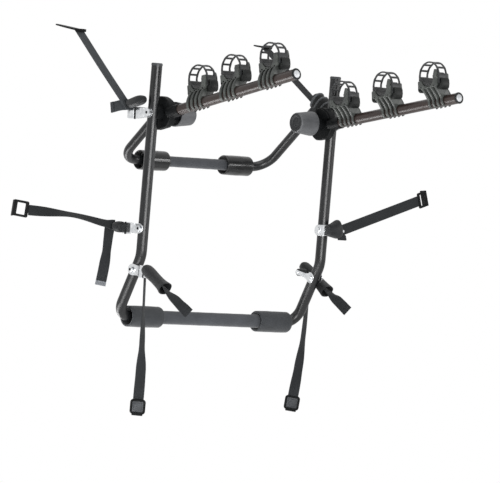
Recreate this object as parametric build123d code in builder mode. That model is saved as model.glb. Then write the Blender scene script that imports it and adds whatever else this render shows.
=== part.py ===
from build123d import *
import os
from math import asin, atan2, cos, hypot, radians, sin, sqrt, tan

# Rear bike rack for three bikes, strapped to the boot lid of a car.
# X runs across the car, +Y points at the car and +Z is up.
# The origin is the middle of the lower crossbar, which rests on the car.

# Fits
running_fit = 0.05
face_gap = 0.2
loose_fit = 0.3

# Main frame, one bent tube
frame_tube_radius = 12.7
frame_tube_wall = 1.5
leg_half_spacing = 278.0
hub_height = 467.0
hub_setback = 131.0
leg_tilt = 7.3
leg_above_hub = 110.0
leg_kink_drop = 335.0
leg_kink_radius = 60.0
crossbar_corner_radius = 38.0
leg_cap_height = 6.0
leg_cap_lip = 0.6
leg_cap_plug = 14.0

# Upper frame, one thinner bent tube
upper_tube_radius = 11.1
upper_tube_wall = 1.5
upper_reach = 180.0
upper_drop = 94.0
upper_axis_offset = 27.6
upper_end_overrun = 14.0
upper_corner_radius = 45.0
upper_cap_thickness = 3.0

# Foam pads and grip sleeves on the crossbars
lower_pad_radius = 25.0
lower_pad_inner_end = 138.0
lower_pad_length = 116.0
upper_pad_radius = 23.5
upper_pad_inner_end = 80.0
upper_pad_length = 93.0
pad_recess_radius = 19.5
pad_outer_recess = 20.0
pad_inner_recess = 5.0
pad_edge = 3.0
lower_sleeve_wall = 2.8
upper_sleeve_wall = 1.2

# Hubs, stacked along X from the leg to the knob
bolt_radius = 5.0
bolt_head_radius = 11.0
bolt_head_height = 5.0
bolt_end_cover = 15.0
saddle_radius = 18.0
saddle_depth = 19.3
disc_radius = 40.0
disc_thickness = 16.5
disc_flat_drop = 35.7
disc_edge = 1.8
boss_inset = 3.5
boss_chord_height = 9.0
boss_thickness = 6.0
eye_radius = 15.0
eye_length = 22.4
eye_web_half_width = 9.0
knob_radius = 29.0
knob_length = 50.0
knob_throat_radius = 16.0
knob_flare_length = 13.0
knob_rim = 2.0
knob_tip_radius = 23.5
knob_tip_round = 5.0
knob_dish_radius = 17.0
knob_dish_depth = 4.0

# Arms
arm_tube_radius = 12.7
arm_tube_wall = 1.5
arm_length = 480.0
arm_drop = 4.0
arm_leg_gap = 2.3
arm_angle = {"left": 7.8, "right": 4.5}
socket_radius = 14.5
socket_start = 28.0
socket_end = 66.0
socket_depth = 30.0
plug_flange_radius = 13.6
plug_flange = 3.0
plug_dome = 3.0
plug_depth = 14.0

# Cradles that clip round the arms, with the jaw set in towards the middle of the rack
cradle_stations = {
    "left": (130.0, 248.0, arm_length - 96.0),
    "right": (100.0, 250.0, arm_length - 69.0),
}
ring_radius = 16.4
ring_count = 4
ring_width = 6.0
ring_pitch = 14.5
ring_mouth_half_width = 8.0
ring_mouth_height = 8.0
rib_side_height = 6.0
rib_top_depth = 5.0
web_inset = 6.0
web_half_width = 2.5
window_radius = 4.0
window_height = 23.0
saddle_axis_height = 55.0
saddle_groove_radius = 17.5
cushion_wall = 3.5
cushion_half_width = 18.0
cushion_lip = 4.0
jaw_inset = 18.0
jaw_half_width = 20.0
jaw_reach = 32.0
jaw_foot_height = 31.0
jaw_top_height = 63.0
jaw_round = 4.0
jaw_notch_half_width = 7.0
jaw_notch_height = 47.0
finger_top_height = 72.0
finger_width = 7.0
finger_tip = 2.5
lug_reach = 8.0
lug_root = 4.0
lug_foot_height = 24.0
lug_half_width = 13.0
peg_half_width = 6.0
peg_half_height = 2.6
peg_proud = 2.0
peg_height = 46.0
ladder_half_width = 14.0
ladder_rail = 5.0
ladder_thickness = 3.0
ladder_top_height = 95.0
ladder_end_height = 38.0
ladder_slot_count = 6
ladder_slot_length = 13.0
peg_slot_length = 7.0

# Strap brackets, riveted to the legs, with a buckle boot on each
bracket_plate = 2.0
bracket_radius = 13.0
bracket_gap = 0.4
rivet_radius = 4.0
rivet_head_radius = 6.5
rivet_head = 2.5
boot_pin_radius = 4.0
boot_pin_length = 24.0
boot_round = 5.0
boot_pocket = 1.0

# Webbing
webbing_width = 25.0
webbing_thickness = 1.8
webbing_start = 5.5
loop_overlap = 0.8

# Hooks on the webbing ends, a thick one for a lower edge and a thin one for the hatch
hook_sizes = {
    "flat": dict(plate=4.0, width=38.0, length=36.0, bar=8.0, window=20.0, lip=14.0),
    "hatch": dict(plate=2.5, width=30.0, length=50.0, bar=6.0, window=5.0, lip=8.0),
}
hook_side_room = 1.0
hook_round = 4.0

# Straps. Each turns on a rivet through its leg, and the top ones turn on the hub bolt. pivot_drop is
# how far the pivot is below the hub. The angles are in degrees up from +Y. The boot starts boot_back
# before the bracket's pin. A run or a tail is a list of steps, X outwards.
strap_plans = {
    "top_left": dict(
        side="left", pivot_drop=0.0, bracket_length=50.0, bracket_angle=9.0, inner_reach=0.0,
        boot_angle=133.0, boot_back=8.0, boot_length=44.0, boot_half_width=15.0, boot_half_height=12.0,
        boot_lift=0.0, run_from=0.0, run=[(0.0, 187.0, 200.0)], run_spread=(1, 0, 0), hook="hatch",
        hook_step=(0.0, 62.0, 20.0), tail_from=4.0, tail=[(0.0, 72.0, -8.0)], tail_spread=(0, 0, 1)),
    "top_right": dict(
        side="right", pivot_drop=0.0, bracket_length=50.0, bracket_angle=30.0, inner_reach=0.0,
        boot_angle=42.0, boot_back=12.0, boot_length=66.0, boot_half_width=15.0, boot_half_height=22.0,
        boot_lift=0.0, run_from=0.0, run=[(0.0, 228.0, 173.0)], run_spread=(1, 0, 0), hook="hatch",
        hook_step=(0.0, 44.0, 7.0), tail_from=30.0, tail=[(0.0, 40.0, -34.0)], tail_spread=(1, 0, 0)),
    "side_left": dict(
        side="left", pivot_drop=268.0, bracket_length=50.0, bracket_angle=6.0, inner_reach=0.0,
        boot_angle=6.0, boot_back=8.0, boot_length=46.0, boot_half_width=15.0, boot_half_height=14.0,
        boot_lift=0.0, run_from=26.0, run=[(190.0, 80.0, 34.0)], run_spread=(0, 0, 1), hook="flat",
        hook_step=(0.0, 0.0, 0.0), tail_from=30.0, tail=[(0.0, 22.0, -40.0), (0.0, 20.0, -108.0)],
        tail_spread=(1, 0, 0)),
    "side_right": dict(
        side="right", pivot_drop=250.0, bracket_length=30.0, bracket_angle=184.0, inner_reach=20.0,
        boot_angle=176.0, boot_back=48.0, boot_length=60.0, boot_half_width=15.0, boot_half_height=22.0,
        boot_lift=0.0, run_from=0.0, run=[(300.0, 50.0, 87.0)], run_spread=(0, 0, 1), hook="flat",
        hook_step=(0.0, 0.0, 0.0), tail_from=4.0, tail=[(0.0, -14.0, -44.0)], tail_spread=(1, 0, 0)),
    "bottom_left": dict(
        side="left", pivot_drop=362.0, bracket_length=50.0, bracket_angle=190.0, inner_reach=0.0,
        boot_angle=218.0, boot_back=8.0, boot_length=100.0, boot_half_width=15.0, boot_half_height=12.0,
        boot_lift=-6.0, run_from=24.0, run=[(0.0, 34.0, -290.0)], run_spread=(1, 0, 0), hook="flat",
        hook_step=(0.0, 0.0, 0.0), tail_from=80.0, tail=[(0.0, -86.0, -60.0)], tail_spread=(1, 0, 0)),
    "bottom_right": dict(
        side="right", pivot_drop=362.0, bracket_length=50.0, bracket_angle=18.0, inner_reach=48.0,
        boot_angle=218.0, boot_back=33.0, boot_length=112.0, boot_half_width=15.0, boot_half_height=12.0,
        boot_lift=0.0, run_from=0.0, run=[(0.0, 62.0, -296.0)], run_spread=(1, 0, 0), hook="flat",
        hook_step=(0.0, 0.0, 0.0), tail_from=68.0, tail=[(0.0, -82.0, -56.0)], tail_spread=(1, 0, 0)),
}

# Places worked out from the sizes
side_signs = {"left": -1, "right": 1}
hub_y = -hub_setback
hub_z = hub_height
tilt = radians(leg_tilt)
leg_up = Vector(0, -sin(tilt), cos(tilt))
leg_outer_face = leg_half_spacing + frame_tube_radius
leg_inner_face = leg_half_spacing - frame_tube_radius
saddle_face = leg_half_spacing - saddle_depth
disc_outer_face = saddle_face - face_gap
disc_inner_face = disc_outer_face - disc_thickness
boss_face = disc_inner_face - boss_thickness
eye_outer_face = boss_face - face_gap
eye_inner_face = eye_outer_face - eye_length
upper_half_spacing = (eye_outer_face + eye_inner_face) / 2
knob_outer_face = eye_inner_face - face_gap
neck_end = knob_outer_face - knob_flare_length + face_gap
knob_inner_face = knob_outer_face - knob_length
arm_half_spacing = leg_inner_face - arm_leg_gap - arm_tube_radius
plate_inner_face = leg_outer_face + bracket_gap
plate_outer_face = plate_inner_face + bracket_plate
head_face = plate_outer_face + bracket_gap
inner_plate_face = leg_inner_face - bracket_gap
bolt_tip = knob_inner_face + bolt_end_cover
leg_kink = Vector(0, hub_y, hub_z) - leg_up * leg_kink_drop


def hub_point(x):
    """The hub axis at a distance from the middle."""
    return Vector(x, hub_y, hub_z)


def leg_point(side, drop):
    """The centre line of a leg at a depth below the hub."""
    if drop <= hub_z - leg_kink.Z:
        y = hub_y + drop * tan(tilt)
    else:
        share = (drop - (hub_z - leg_kink.Z)) / leg_kink.Z
        y = leg_kink.Y * (1 - share)
    return Vector(side_signs[side] * leg_half_spacing, y, hub_z - drop)


def across(point):
    """A plane that faces +X, with sketch x along +Y and sketch y up."""
    return Plane(point, x_dir=(0, 1, 0), z_dir=(1, 0, 0))


def frame_of(origin, angle):
    """A frame with x away from the car at an angle above level, y along +X and z up."""
    turn = radians(angle)
    return Plane(origin, x_dir=(0, -cos(turn), sin(turn)), z_dir=(0, sin(turn), cos(turn)))


def inside(base, origin, x_dir, z_dir):
    """A plane given in the coordinates of another one."""
    start = base.from_local_coords(Vector(*origin))
    x_way = base.from_local_coords(Vector(*x_dir)) - base.origin
    z_way = base.from_local_coords(Vector(*z_dir)) - base.origin
    return Plane(start, x_dir=x_way, z_dir=z_way)


def arm_frame(side):
    """The frame of an arm, on the axis of its tube beside the hub."""
    hub = frame_of(hub_point(side_signs[side] * arm_half_spacing), arm_angle[side])
    return inside(hub, (0, 0, -arm_drop), (1, 0, 0), (0, 0, 1))


def save(builder, name):
    """Label a piece and write it."""
    builder.part.label = name
    export_step(builder.part, f"parts/{name}.step")


os.makedirs("parts", exist_ok=True)

# Main frame tube, with the holes for the hub bolts and the bracket rivets
leg_top = hub_point(0) + leg_up * leg_above_hub
frame_route = []
for sign in (1, -1):
    stations = [leg_top, leg_kink, Vector(0, 0, 0)]
    points = [Vector(sign * leg_half_spacing, at.Y, at.Z) for at in stations]
    frame_route.extend(points[::sign])

with BuildPart() as lower_frame_tube:
    with BuildLine() as frame_line:
        FilletPolyline(
            *frame_route,
            radius=[leg_kink_radius, crossbar_corner_radius, crossbar_corner_radius, leg_kink_radius])
    with BuildSketch(Plane(frame_route[0], z_dir=-leg_up)):
        Circle(frame_tube_radius)
        Circle(frame_tube_radius - frame_tube_wall, mode=Mode.SUBTRACT)
    sweep(path=frame_line.line)
    for sign in (1, -1):
        with BuildSketch(across(hub_point(sign * leg_half_spacing))):
            Circle(bolt_radius + running_fit)
        extrude(amount=2 * frame_tube_radius, both=True, mode=Mode.SUBTRACT)
    for plan in strap_plans.values():
        if plan["pivot_drop"] > 0:
            sign = side_signs[plan["side"]]
            with BuildSketch(across(leg_point(plan["side"], plan["pivot_drop"]))):
                Circle(rivet_radius + running_fit)
            extrude(amount=2 * frame_tube_radius * sign, mode=Mode.SUBTRACT)
            if plan["inner_reach"] > 0:
                with BuildSketch(across(leg_point(plan["side"], plan["pivot_drop"]))):
                    Circle(rivet_radius + running_fit)
                extrude(amount=-2 * frame_tube_radius * sign, mode=Mode.SUBTRACT)
save(lower_frame_tube, "lower_frame_tube")

with BuildPart() as leg_end_caps:
    for sign in (1, -1):
        top = Vector(sign * leg_half_spacing, leg_top.Y, leg_top.Z)
        with BuildSketch(Plane(top, z_dir=leg_up)):
            Circle(frame_tube_radius + leg_cap_lip)
        extrude(amount=leg_cap_height)
        with BuildSketch(Plane(top, z_dir=-leg_up)):
            Circle(frame_tube_radius - frame_tube_wall - running_fit)
        extrude(amount=leg_cap_plug)
    fillet(leg_end_caps.faces().sort_by(Axis.Z)[-2:].edges(), radius=leg_cap_height / 2)
save(leg_end_caps, "leg_end_caps")


def make_pads(centre, tube_radius, pad_radius, inner_end, length):
    """A pair of foam pads on a crossbar, each hollowed at its ends."""
    with BuildPart() as pads:
        for sign in (1, -1):
            with BuildSketch(across(centre + Vector(sign * inner_end, 0, 0))):
                Circle(pad_radius)
                Circle(tube_radius + loose_fit, mode=Mode.SUBTRACT)
            extrude(amount=sign * length)
        fillet(pads.edges().filter_by(GeomType.CIRCLE).group_by(SortBy.RADIUS)[-1], radius=pad_edge)
        for sign in (1, -1):
            with BuildSketch(across(centre + Vector(sign * inner_end, 0, 0))):
                Circle(pad_recess_radius)
            extrude(amount=sign * pad_inner_recess, mode=Mode.SUBTRACT)
            with BuildSketch(across(centre + Vector(sign * (inner_end + length), 0, 0))):
                Circle(pad_recess_radius)
            extrude(amount=-sign * pad_outer_recess, mode=Mode.SUBTRACT)
    return pads


def make_sleeve(centre, tube_radius, wall, inner_end):
    """A grip sleeve between two pads."""
    half_length = inner_end + pad_inner_recess - face_gap
    with BuildPart() as sleeve:
        with BuildSketch(across(centre)):
            Circle(tube_radius + loose_fit + wall)
            Circle(tube_radius + loose_fit, mode=Mode.SUBTRACT)
        extrude(amount=half_length, both=True)
    return sleeve


crossbar = Vector(0, 0, 0)
save(
    make_pads(crossbar, frame_tube_radius, lower_pad_radius, lower_pad_inner_end, lower_pad_length),
    "lower_pads")
save(
    make_sleeve(crossbar, frame_tube_radius, lower_sleeve_wall, lower_pad_inner_end),
    "lower_grip_sleeve")

with BuildPart() as hub_saddles:
    for sign in (1, -1):
        with BuildSketch(across(hub_point(sign * saddle_face))):
            Circle(saddle_radius)
            Circle(bolt_radius + running_fit, mode=Mode.SUBTRACT)
        extrude(amount=sign * saddle_depth)
    for sign in (1, -1):
        with BuildSketch(Plane(hub_point(sign * leg_half_spacing), z_dir=leg_up)):
            Circle(frame_tube_radius)
        extrude(amount=leg_above_hub, both=True, mode=Mode.SUBTRACT)
save(hub_saddles, "hub_saddles")

with BuildPart() as bolts_and_rivets:
    for sign in (1, -1):
        with BuildSketch(across(hub_point(sign * head_face))):
            Circle(bolt_radius)
        extrude(amount=-sign * (head_face - bolt_tip))
        with BuildSketch(across(hub_point(sign * head_face))):
            Circle(bolt_head_radius)
        extrude(amount=sign * bolt_head_height)
    for plan in strap_plans.values():
        if plan["pivot_drop"] > 0:
            sign = side_signs[plan["side"]]
            pivot = leg_point(plan["side"], plan["pivot_drop"])
            head_at = Vector(sign * head_face, pivot.Y, pivot.Z)
            if plan["inner_reach"] > 0:
                rivet_end = inner_plate_face - bracket_plate - bracket_gap
                bulb_radius = rivet_head_radius
            else:
                bulb_radius = rivet_radius + frame_tube_wall
                bore_radius = frame_tube_radius - frame_tube_wall
                rivet_end = leg_half_spacing + sqrt(bore_radius ** 2 - bulb_radius ** 2) - face_gap
            with BuildSketch(across(head_at)):
                Circle(rivet_radius)
            extrude(amount=-sign * (head_face - rivet_end))
            with BuildSketch(across(head_at)):
                Circle(rivet_head_radius)
            extrude(amount=sign * rivet_head)
            with BuildSketch(across(Vector(sign * rivet_end, pivot.Y, pivot.Z))):
                Circle(bulb_radius)
            extrude(amount=-sign * rivet_head)
save(bolts_and_rivets, "bolts_and_rivets")

# Upper frame, a bent tube whose legs pass above the hub and turn on two eyes
corner_distance = hypot(upper_reach, upper_drop)
corner_angle = atan2(-upper_drop, upper_reach)
upper_way_angle = corner_angle + radians(180) - asin(upper_axis_offset / corner_distance)
upper_way = Vector(0, cos(upper_way_angle), sin(upper_way_angle))
upper_run = sqrt(corner_distance ** 2 - upper_axis_offset ** 2)
upper_corner = hub_point(0) + Vector(0, upper_reach, -upper_drop)
upper_foot = upper_corner + upper_way * upper_run
upper_end = upper_foot + upper_way * upper_end_overrun
upper_route = []
for sign in (1, -1):
    points = [Vector(sign * upper_half_spacing, at.Y, at.Z) for at in (upper_end, upper_corner)]
    upper_route.extend(points[::sign])

with BuildPart() as upper_frame_tube:
    with BuildLine() as upper_line:
        FilletPolyline(*upper_route, radius=upper_corner_radius)
    with BuildSketch(Plane(upper_route[0], z_dir=-upper_way)):
        Circle(upper_tube_radius)
        Circle(upper_tube_radius - upper_tube_wall, mode=Mode.SUBTRACT)
    sweep(path=upper_line.line)
    for point in (upper_route[0], upper_route[-1]):
        with BuildSketch(Plane(point, z_dir=-upper_way)):
            Circle(upper_tube_radius)
        extrude(amount=upper_cap_thickness)
save(upper_frame_tube, "upper_frame_tube")

upper_lift = (upper_foot - hub_point(0)).normalized()
with BuildPart() as upper_frame_eyes:
    for sign in (1, -1):
        face = Plane(hub_point(sign * eye_outer_face), x_dir=upper_lift, z_dir=(-sign, 0, 0))
        with BuildSketch(face):
            Circle(eye_radius)
        extrude(amount=eye_outer_face - neck_end)
        with BuildSketch(face):
            with Locations((upper_axis_offset / 2, 0)):
                Rectangle(upper_axis_offset, 2 * eye_web_half_width)
        extrude(amount=eye_length)
        with BuildSketch(face):
            Circle(bolt_radius + running_fit)
        extrude(amount=eye_outer_face - neck_end, mode=Mode.SUBTRACT)
        tube_at = Vector(sign * upper_half_spacing, upper_foot.Y, upper_foot.Z)
        with BuildSketch(Plane(tube_at, z_dir=upper_way)):
            Circle(upper_tube_radius)
        extrude(amount=upper_run / 2, both=True, mode=Mode.SUBTRACT)
save(upper_frame_eyes, "upper_frame_eyes")

save(
    make_pads(upper_corner, upper_tube_radius, upper_pad_radius, upper_pad_inner_end, upper_pad_length),
    "upper_pads")
save(
    make_sleeve(upper_corner, upper_tube_radius, upper_sleeve_wall, upper_pad_inner_end),
    "upper_grip_sleeve")


def make_arm_hub(side):
    """The disc that turns on the hub bolt, with the socket of the arm tube."""
    sign = side_signs[side]
    hub = frame_of(hub_point(sign * arm_half_spacing), arm_angle[side])
    outer = inside(hub, (0, sign * (disc_outer_face - arm_half_spacing), 0), (1, 0, 0), (0, -1, 0))
    inner = inside(hub, (0, sign * (disc_inner_face - arm_half_spacing), 0), (1, 0, 0), (0, -1, 0))
    axis = arm_frame(side)
    with BuildPart() as piece:
        with BuildSketch(outer):
            Circle(disc_radius)
            with Locations((0, -disc_flat_drop)):
                Rectangle(
                    2 * disc_radius, 2 * disc_radius, align=(Align.CENTER, Align.MAX), mode=Mode.SUBTRACT)
        extrude(amount=sign * disc_thickness)
        chamfer(piece.edges().filter_by(GeomType.CIRCLE), length=disc_edge)
        with BuildSketch(inner):
            Circle(disc_radius - boss_inset)
            with Locations((0, boss_chord_height)):
                Rectangle(
                    2 * disc_radius, 2 * disc_radius, align=(Align.CENTER, Align.MAX), mode=Mode.SUBTRACT)
            Circle(eye_radius)
        extrude(amount=sign * boss_thickness)
        with BuildSketch(inside(axis, (socket_start, 0, 0), (0, 1, 0), (1, 0, 0))):
            Circle(socket_radius)
        extrude(amount=socket_end - socket_start)
        with BuildSketch(inside(axis, (socket_end, 0, 0), (0, 1, 0), (1, 0, 0))):
            Circle(arm_tube_radius + running_fit)
        extrude(amount=-socket_depth, mode=Mode.SUBTRACT)
        with BuildSketch(outer):
            Circle(bolt_radius + running_fit)
        extrude(amount=sign * (disc_thickness + boss_thickness), mode=Mode.SUBTRACT)
    return piece


def make_arm_tube(side):
    """The straight tube of an arm."""
    start = socket_end - socket_depth
    with BuildPart() as piece:
        with BuildSketch(inside(arm_frame(side), (start, 0, 0), (0, 1, 0), (1, 0, 0))):
            Circle(arm_tube_radius)
            Circle(arm_tube_radius - arm_tube_wall, mode=Mode.SUBTRACT)
        extrude(amount=arm_length - plug_flange - plug_dome - start)
    return piece


def make_end_plug(side):
    """The plug in the free end of an arm, a flange with a domed middle."""
    mouth = arm_length - plug_flange - plug_dome
    face = inside(arm_frame(side), (mouth, 0, 0), (0, 1, 0), (1, 0, 0))
    with BuildPart() as piece:
        with BuildSketch(face):
            Circle(plug_flange_radius)
        extrude(amount=plug_flange)
        with BuildSketch(face):
            Circle(arm_tube_radius - arm_tube_wall - running_fit)
        extrude(amount=-plug_depth)
        with BuildSketch(face.offset(plug_flange)):
            Circle(arm_tube_radius - arm_tube_wall)
        extrude(amount=plug_dome)
        tip = piece.faces().sort_by(Axis(face.origin, face.z_dir))[-1]
        fillet(tip.edges(), radius=plug_dome - face_gap)
    return piece


def make_knob(side):
    """The clamp knob, a tapered body with a flared mouth round the neck of the upper frame."""
    sign = side_signs[side]
    face = Plane(hub_point(sign * knob_outer_face), x_dir=(-sign, 0, 0), z_dir=(0, 1, 0))
    taper_start = knob_flare_length / 3
    dish_floor = knob_length - knob_dish_depth
    with BuildPart() as piece:
        with BuildSketch(face) as section:
            with BuildLine():
                Polyline(
                    (knob_flare_length, 0),
                    (knob_flare_length, knob_throat_radius),
                    (0, knob_radius - knob_rim),
                    (0, knob_radius),
                    (taper_start, knob_radius),
                    (knob_length, knob_tip_radius),
                    (knob_length, knob_dish_radius),
                    (dish_floor, knob_dish_radius - knob_dish_depth),
                    (dish_floor, 0),
                    close=True)
            make_face()
            corner = section.vertices().group_by(Axis.X)[-1].sort_by(Axis.Y)[-1]
            fillet(corner, radius=knob_tip_round)
        revolve(axis=Axis(face.origin, (1, 0, 0)))
        with BuildSketch(across(hub_point(sign * knob_outer_face))):
            Circle(bolt_radius + running_fit)
        extrude(amount=-sign * (knob_outer_face - bolt_tip + face_gap), mode=Mode.SUBTRACT)
    return piece


for side in side_signs:
    save(make_arm_hub(side), f"{side}_arm_hub")
    save(make_arm_tube(side), f"{side}_arm_tube")
    save(make_end_plug(side), f"{side}_arm_end_plug")
    save(make_knob(side), f"{side}_knob")


def make_cradle(base, inward):
    """A cradle that clips round the arm tube by its ribs, with a jaw for the tube of a bike."""
    jaw = inside(base, (0, inward * jaw_inset, 0), (1, 0, 0), (0, 0, 1))
    profile = inside(jaw, (0, 0, 0), (1, 0, 0), (0, -1, 0))
    groove_radius = saddle_groove_radius + cushion_wall
    stations = [(number - (ring_count - 1) / 2) * ring_pitch for number in range(ring_count)]
    windows = [(first + second) / 2 for first, second in zip(stations, stations[1:])]
    with BuildPart() as piece:
        for at in stations:
            with BuildSketch(inside(base, (at, 0, 0), (0, inward, 0), (inward, 0, 0))):
                Circle(ring_radius)
                with BuildLine():
                    Polyline(
                        (-ring_radius, 0),
                        (-ring_radius, rib_side_height),
                        (jaw_inset - jaw_half_width, jaw_foot_height + rib_top_depth),
                        (jaw_inset + jaw_half_width, jaw_foot_height + rib_top_depth),
                        (jaw_inset + jaw_half_width, jaw_foot_height),
                        (ring_radius, rib_side_height),
                        (ring_radius, 0),
                        close=True)
                make_face()
            extrude(amount=ring_width / 2, both=True)
        with BuildSketch(inside(base, (0, inward * web_inset, 0), (1, 0, 0), (0, -1, 0))):
            with Locations((0, 0)):
                Rectangle(
                    2 * stations[-1], jaw_foot_height + rib_top_depth, align=(Align.CENTER, Align.MIN))
            with Locations([(at, window_height) for at in windows]):
                Circle(window_radius, mode=Mode.SUBTRACT)
        extrude(amount=web_half_width, both=True)
        with BuildSketch(profile) as block:
            with Locations((0, jaw_foot_height)):
                Rectangle(
                    2 * jaw_reach, jaw_top_height - jaw_foot_height, align=(Align.CENTER, Align.MIN))
            fillet(block.vertices(), radius=jaw_round)
        extrude(amount=jaw_half_width, both=True)
        for end in (1, -1):
            with BuildSketch(inside(
                    jaw, (end * (jaw_reach - lug_root), 0, lug_foot_height), (end, 0, 0), (0, 0, 1))):
                Rectangle(lug_root + lug_reach, 2 * lug_half_width, align=(Align.MIN, Align.CENTER))
            extrude(amount=ladder_end_height - face_gap - lug_foot_height)
            peg_at = (end * (jaw_reach - lug_root), 0, peg_height)
            with BuildSketch(inside(jaw, peg_at, (0, 1, 0), (end, 0, 0))):
                Rectangle(2 * peg_half_width, 2 * peg_half_height)
            extrude(amount=lug_root + loose_fit + ladder_thickness + peg_proud)
        with BuildSketch(profile):
            with Locations((0, saddle_axis_height)):
                Circle(groove_radius)
                Rectangle(2 * groove_radius, jaw_top_height, align=(Align.CENTER, Align.MIN))
        extrude(amount=jaw_half_width, both=True, mode=Mode.SUBTRACT)
        with BuildSketch(profile):
            with Locations((0, jaw_notch_height)):
                Rectangle(2 * jaw_reach, jaw_top_height, align=(Align.CENTER, Align.MIN))
        extrude(amount=jaw_notch_half_width, both=True, mode=Mode.SUBTRACT)
        finger_root = inside(jaw, (0, inward * jaw_half_width, 0), (1, 0, 0), (0, -inward, 0))
        with BuildSketch(finger_root):
            with BuildLine():
                Polyline(
                    (groove_radius + loose_fit, inward * saddle_axis_height),
                    (jaw_reach, inward * saddle_axis_height),
                    (jaw_reach, inward * jaw_top_height),
                    (jaw_reach - finger_tip, inward * finger_top_height),
                    (groove_radius + finger_tip, inward * finger_top_height),
                    close=True)
            make_face()
        extrude(amount=finger_width)
        with BuildSketch(inside(base, (0, 0, 0), (0, 1, 0), (1, 0, 0))):
            Circle(arm_tube_radius + running_fit)
        extrude(amount=ring_count * ring_pitch, both=True, mode=Mode.SUBTRACT)
        with BuildSketch(inside(base, (0, 0, -ring_mouth_height), (1, 0, 0), (0, 0, -1))):
            Rectangle(ring_count * ring_pitch, 2 * ring_mouth_half_width)
        extrude(amount=ring_radius, mode=Mode.SUBTRACT)
    return piece


def make_cushion(jaw):
    """The soft lining of the jaw."""
    profile = inside(jaw, (0, 0, 0), (1, 0, 0), (0, -1, 0))
    with BuildPart() as piece:
        with BuildSketch(profile):
            with Locations((0, saddle_axis_height)):
                Circle(saddle_groove_radius + cushion_wall)
                Circle(saddle_groove_radius, mode=Mode.SUBTRACT)
            with Locations((0, saddle_axis_height + cushion_lip)):
                Rectangle(
                    2 * jaw_reach, 2 * jaw_reach, align=(Align.CENTER, Align.MIN), mode=Mode.SUBTRACT)
        extrude(amount=cushion_half_width, both=True)
    return piece


def make_ladder_strap(jaw):
    """A rubber strap with a row of wide slots, arched over the jaw from peg to peg."""
    profile = inside(jaw, (0, 0, 0), (1, 0, 0), (0, -1, 0))
    inner = jaw_reach + loose_fit
    outer = inner + ladder_thickness
    arch_height = ladder_top_height - outer
    slot_width = 2 * (ladder_half_width - ladder_rail)
    with BuildPart() as piece:
        with BuildSketch(profile):
            with Locations((0, arch_height)):
                Circle(outer)
                Rectangle(
                    2 * outer, arch_height - ladder_end_height, align=(Align.CENTER, Align.MAX))
                Circle(inner, mode=Mode.SUBTRACT)
                Rectangle(2 * inner, arch_height, align=(Align.CENTER, Align.MAX), mode=Mode.SUBTRACT)
            with Locations((0, ladder_end_height)):
                Rectangle(
                    2 * outer, outer, align=(Align.CENTER, Align.MAX), mode=Mode.SUBTRACT)
        extrude(amount=ladder_half_width, both=True)
        for number in range(ladder_slot_count):
            turn = radians(180 * (2 * number + 1) / (2 * ladder_slot_count))
            way = (cos(turn), 0, sin(turn))
            with BuildSketch(inside(jaw, (0, 0, arch_height), (0, 1, 0), way)):
                Rectangle(slot_width, ladder_slot_length)
            extrude(amount=2 * outer, mode=Mode.SUBTRACT)
        with BuildSketch(inside(jaw, (0, 0, peg_height), (0, 1, 0), (1, 0, 0))):
            Rectangle(slot_width, peg_slot_length)
        extrude(amount=2 * outer, both=True, mode=Mode.SUBTRACT)
    return piece


cradle_names = ("inner", "middle", "outer")
for side, stations in cradle_stations.items():
    inward = -side_signs[side]
    for place, station in zip(cradle_names, stations):
        base = inside(arm_frame(side), (station, 0, 0), (1, 0, 0), (0, 0, 1))
        jaw = inside(base, (0, inward * jaw_inset, 0), (1, 0, 0), (0, 0, 1))
        save(make_cradle(base, inward), f"{side}_{place}_cradle")
        save(make_cushion(jaw), f"{side}_{place}_cradle_cushion")
        save(make_ladder_strap(jaw), f"{side}_{place}_ladder_strap")


def way_at(angle):
    """A direction across the car's side view, at an angle up from +Y."""
    turn = radians(angle)
    return Vector(0, cos(turn), sin(turn))


def strap_places(plan):
    """The pivot and the boot pin of a strap, both on the plane of the bracket's inner face."""
    sign = side_signs[plan["side"]]
    if plan["pivot_drop"] > 0:
        on_leg = leg_point(plan["side"], plan["pivot_drop"])
    else:
        on_leg = hub_point(0)
    pivot = Vector(sign * plate_inner_face, on_leg.Y, on_leg.Z)
    return pivot, pivot + way_at(plan["bracket_angle"]) * plan["bracket_length"]


def make_bracket(plan):
    """A zinc bracket with a pin for the boot, and a second cheek where inner_reach is set."""
    sign = side_signs[plan["side"]]
    pivot, pin = strap_places(plan)
    way = way_at(plan["bracket_angle"])
    if plan["pivot_drop"] > 0:
        hole_radius = rivet_radius + running_fit
    else:
        hole_radius = bolt_radius + running_fit
    cheek = Plane(pivot, x_dir=way, z_dir=(1, 0, 0))
    with BuildPart() as piece:
        with BuildSketch(cheek):
            with Locations((plan["bracket_length"] / 2, 0)):
                SlotCenterToCenter(plan["bracket_length"], 2 * bracket_radius)
        extrude(amount=sign * bracket_plate)
        if plan["inner_reach"] > 0:
            far_cheek = Plane(
                Vector(sign * inner_plate_face, pivot.Y, pivot.Z), x_dir=way, z_dir=(1, 0, 0))
            with BuildSketch(far_cheek):
                Circle(bracket_radius)
                Rectangle(
                    plan["inner_reach"] + bracket_plate, 2 * bracket_radius,
                    align=(Align.MIN, Align.CENTER))
            extrude(amount=-sign * bracket_plate)
            with BuildSketch(far_cheek):
                with Locations((plan["inner_reach"], 0)):
                    Rectangle(bracket_plate, 2 * bracket_radius, align=(Align.MIN, Align.CENTER))
            extrude(amount=sign * (plate_outer_face - inner_plate_face))
        with BuildSketch(cheek.offset(sign * bracket_plate)):
            with Locations((plan["bracket_length"], 0)):
                Circle(boot_pin_radius)
        extrude(amount=sign * boot_pin_length)
        with BuildSketch(cheek):
            Circle(hole_radius)
        extrude(amount=2 * leg_outer_face, both=True, mode=Mode.SUBTRACT)
    return piece


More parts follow.
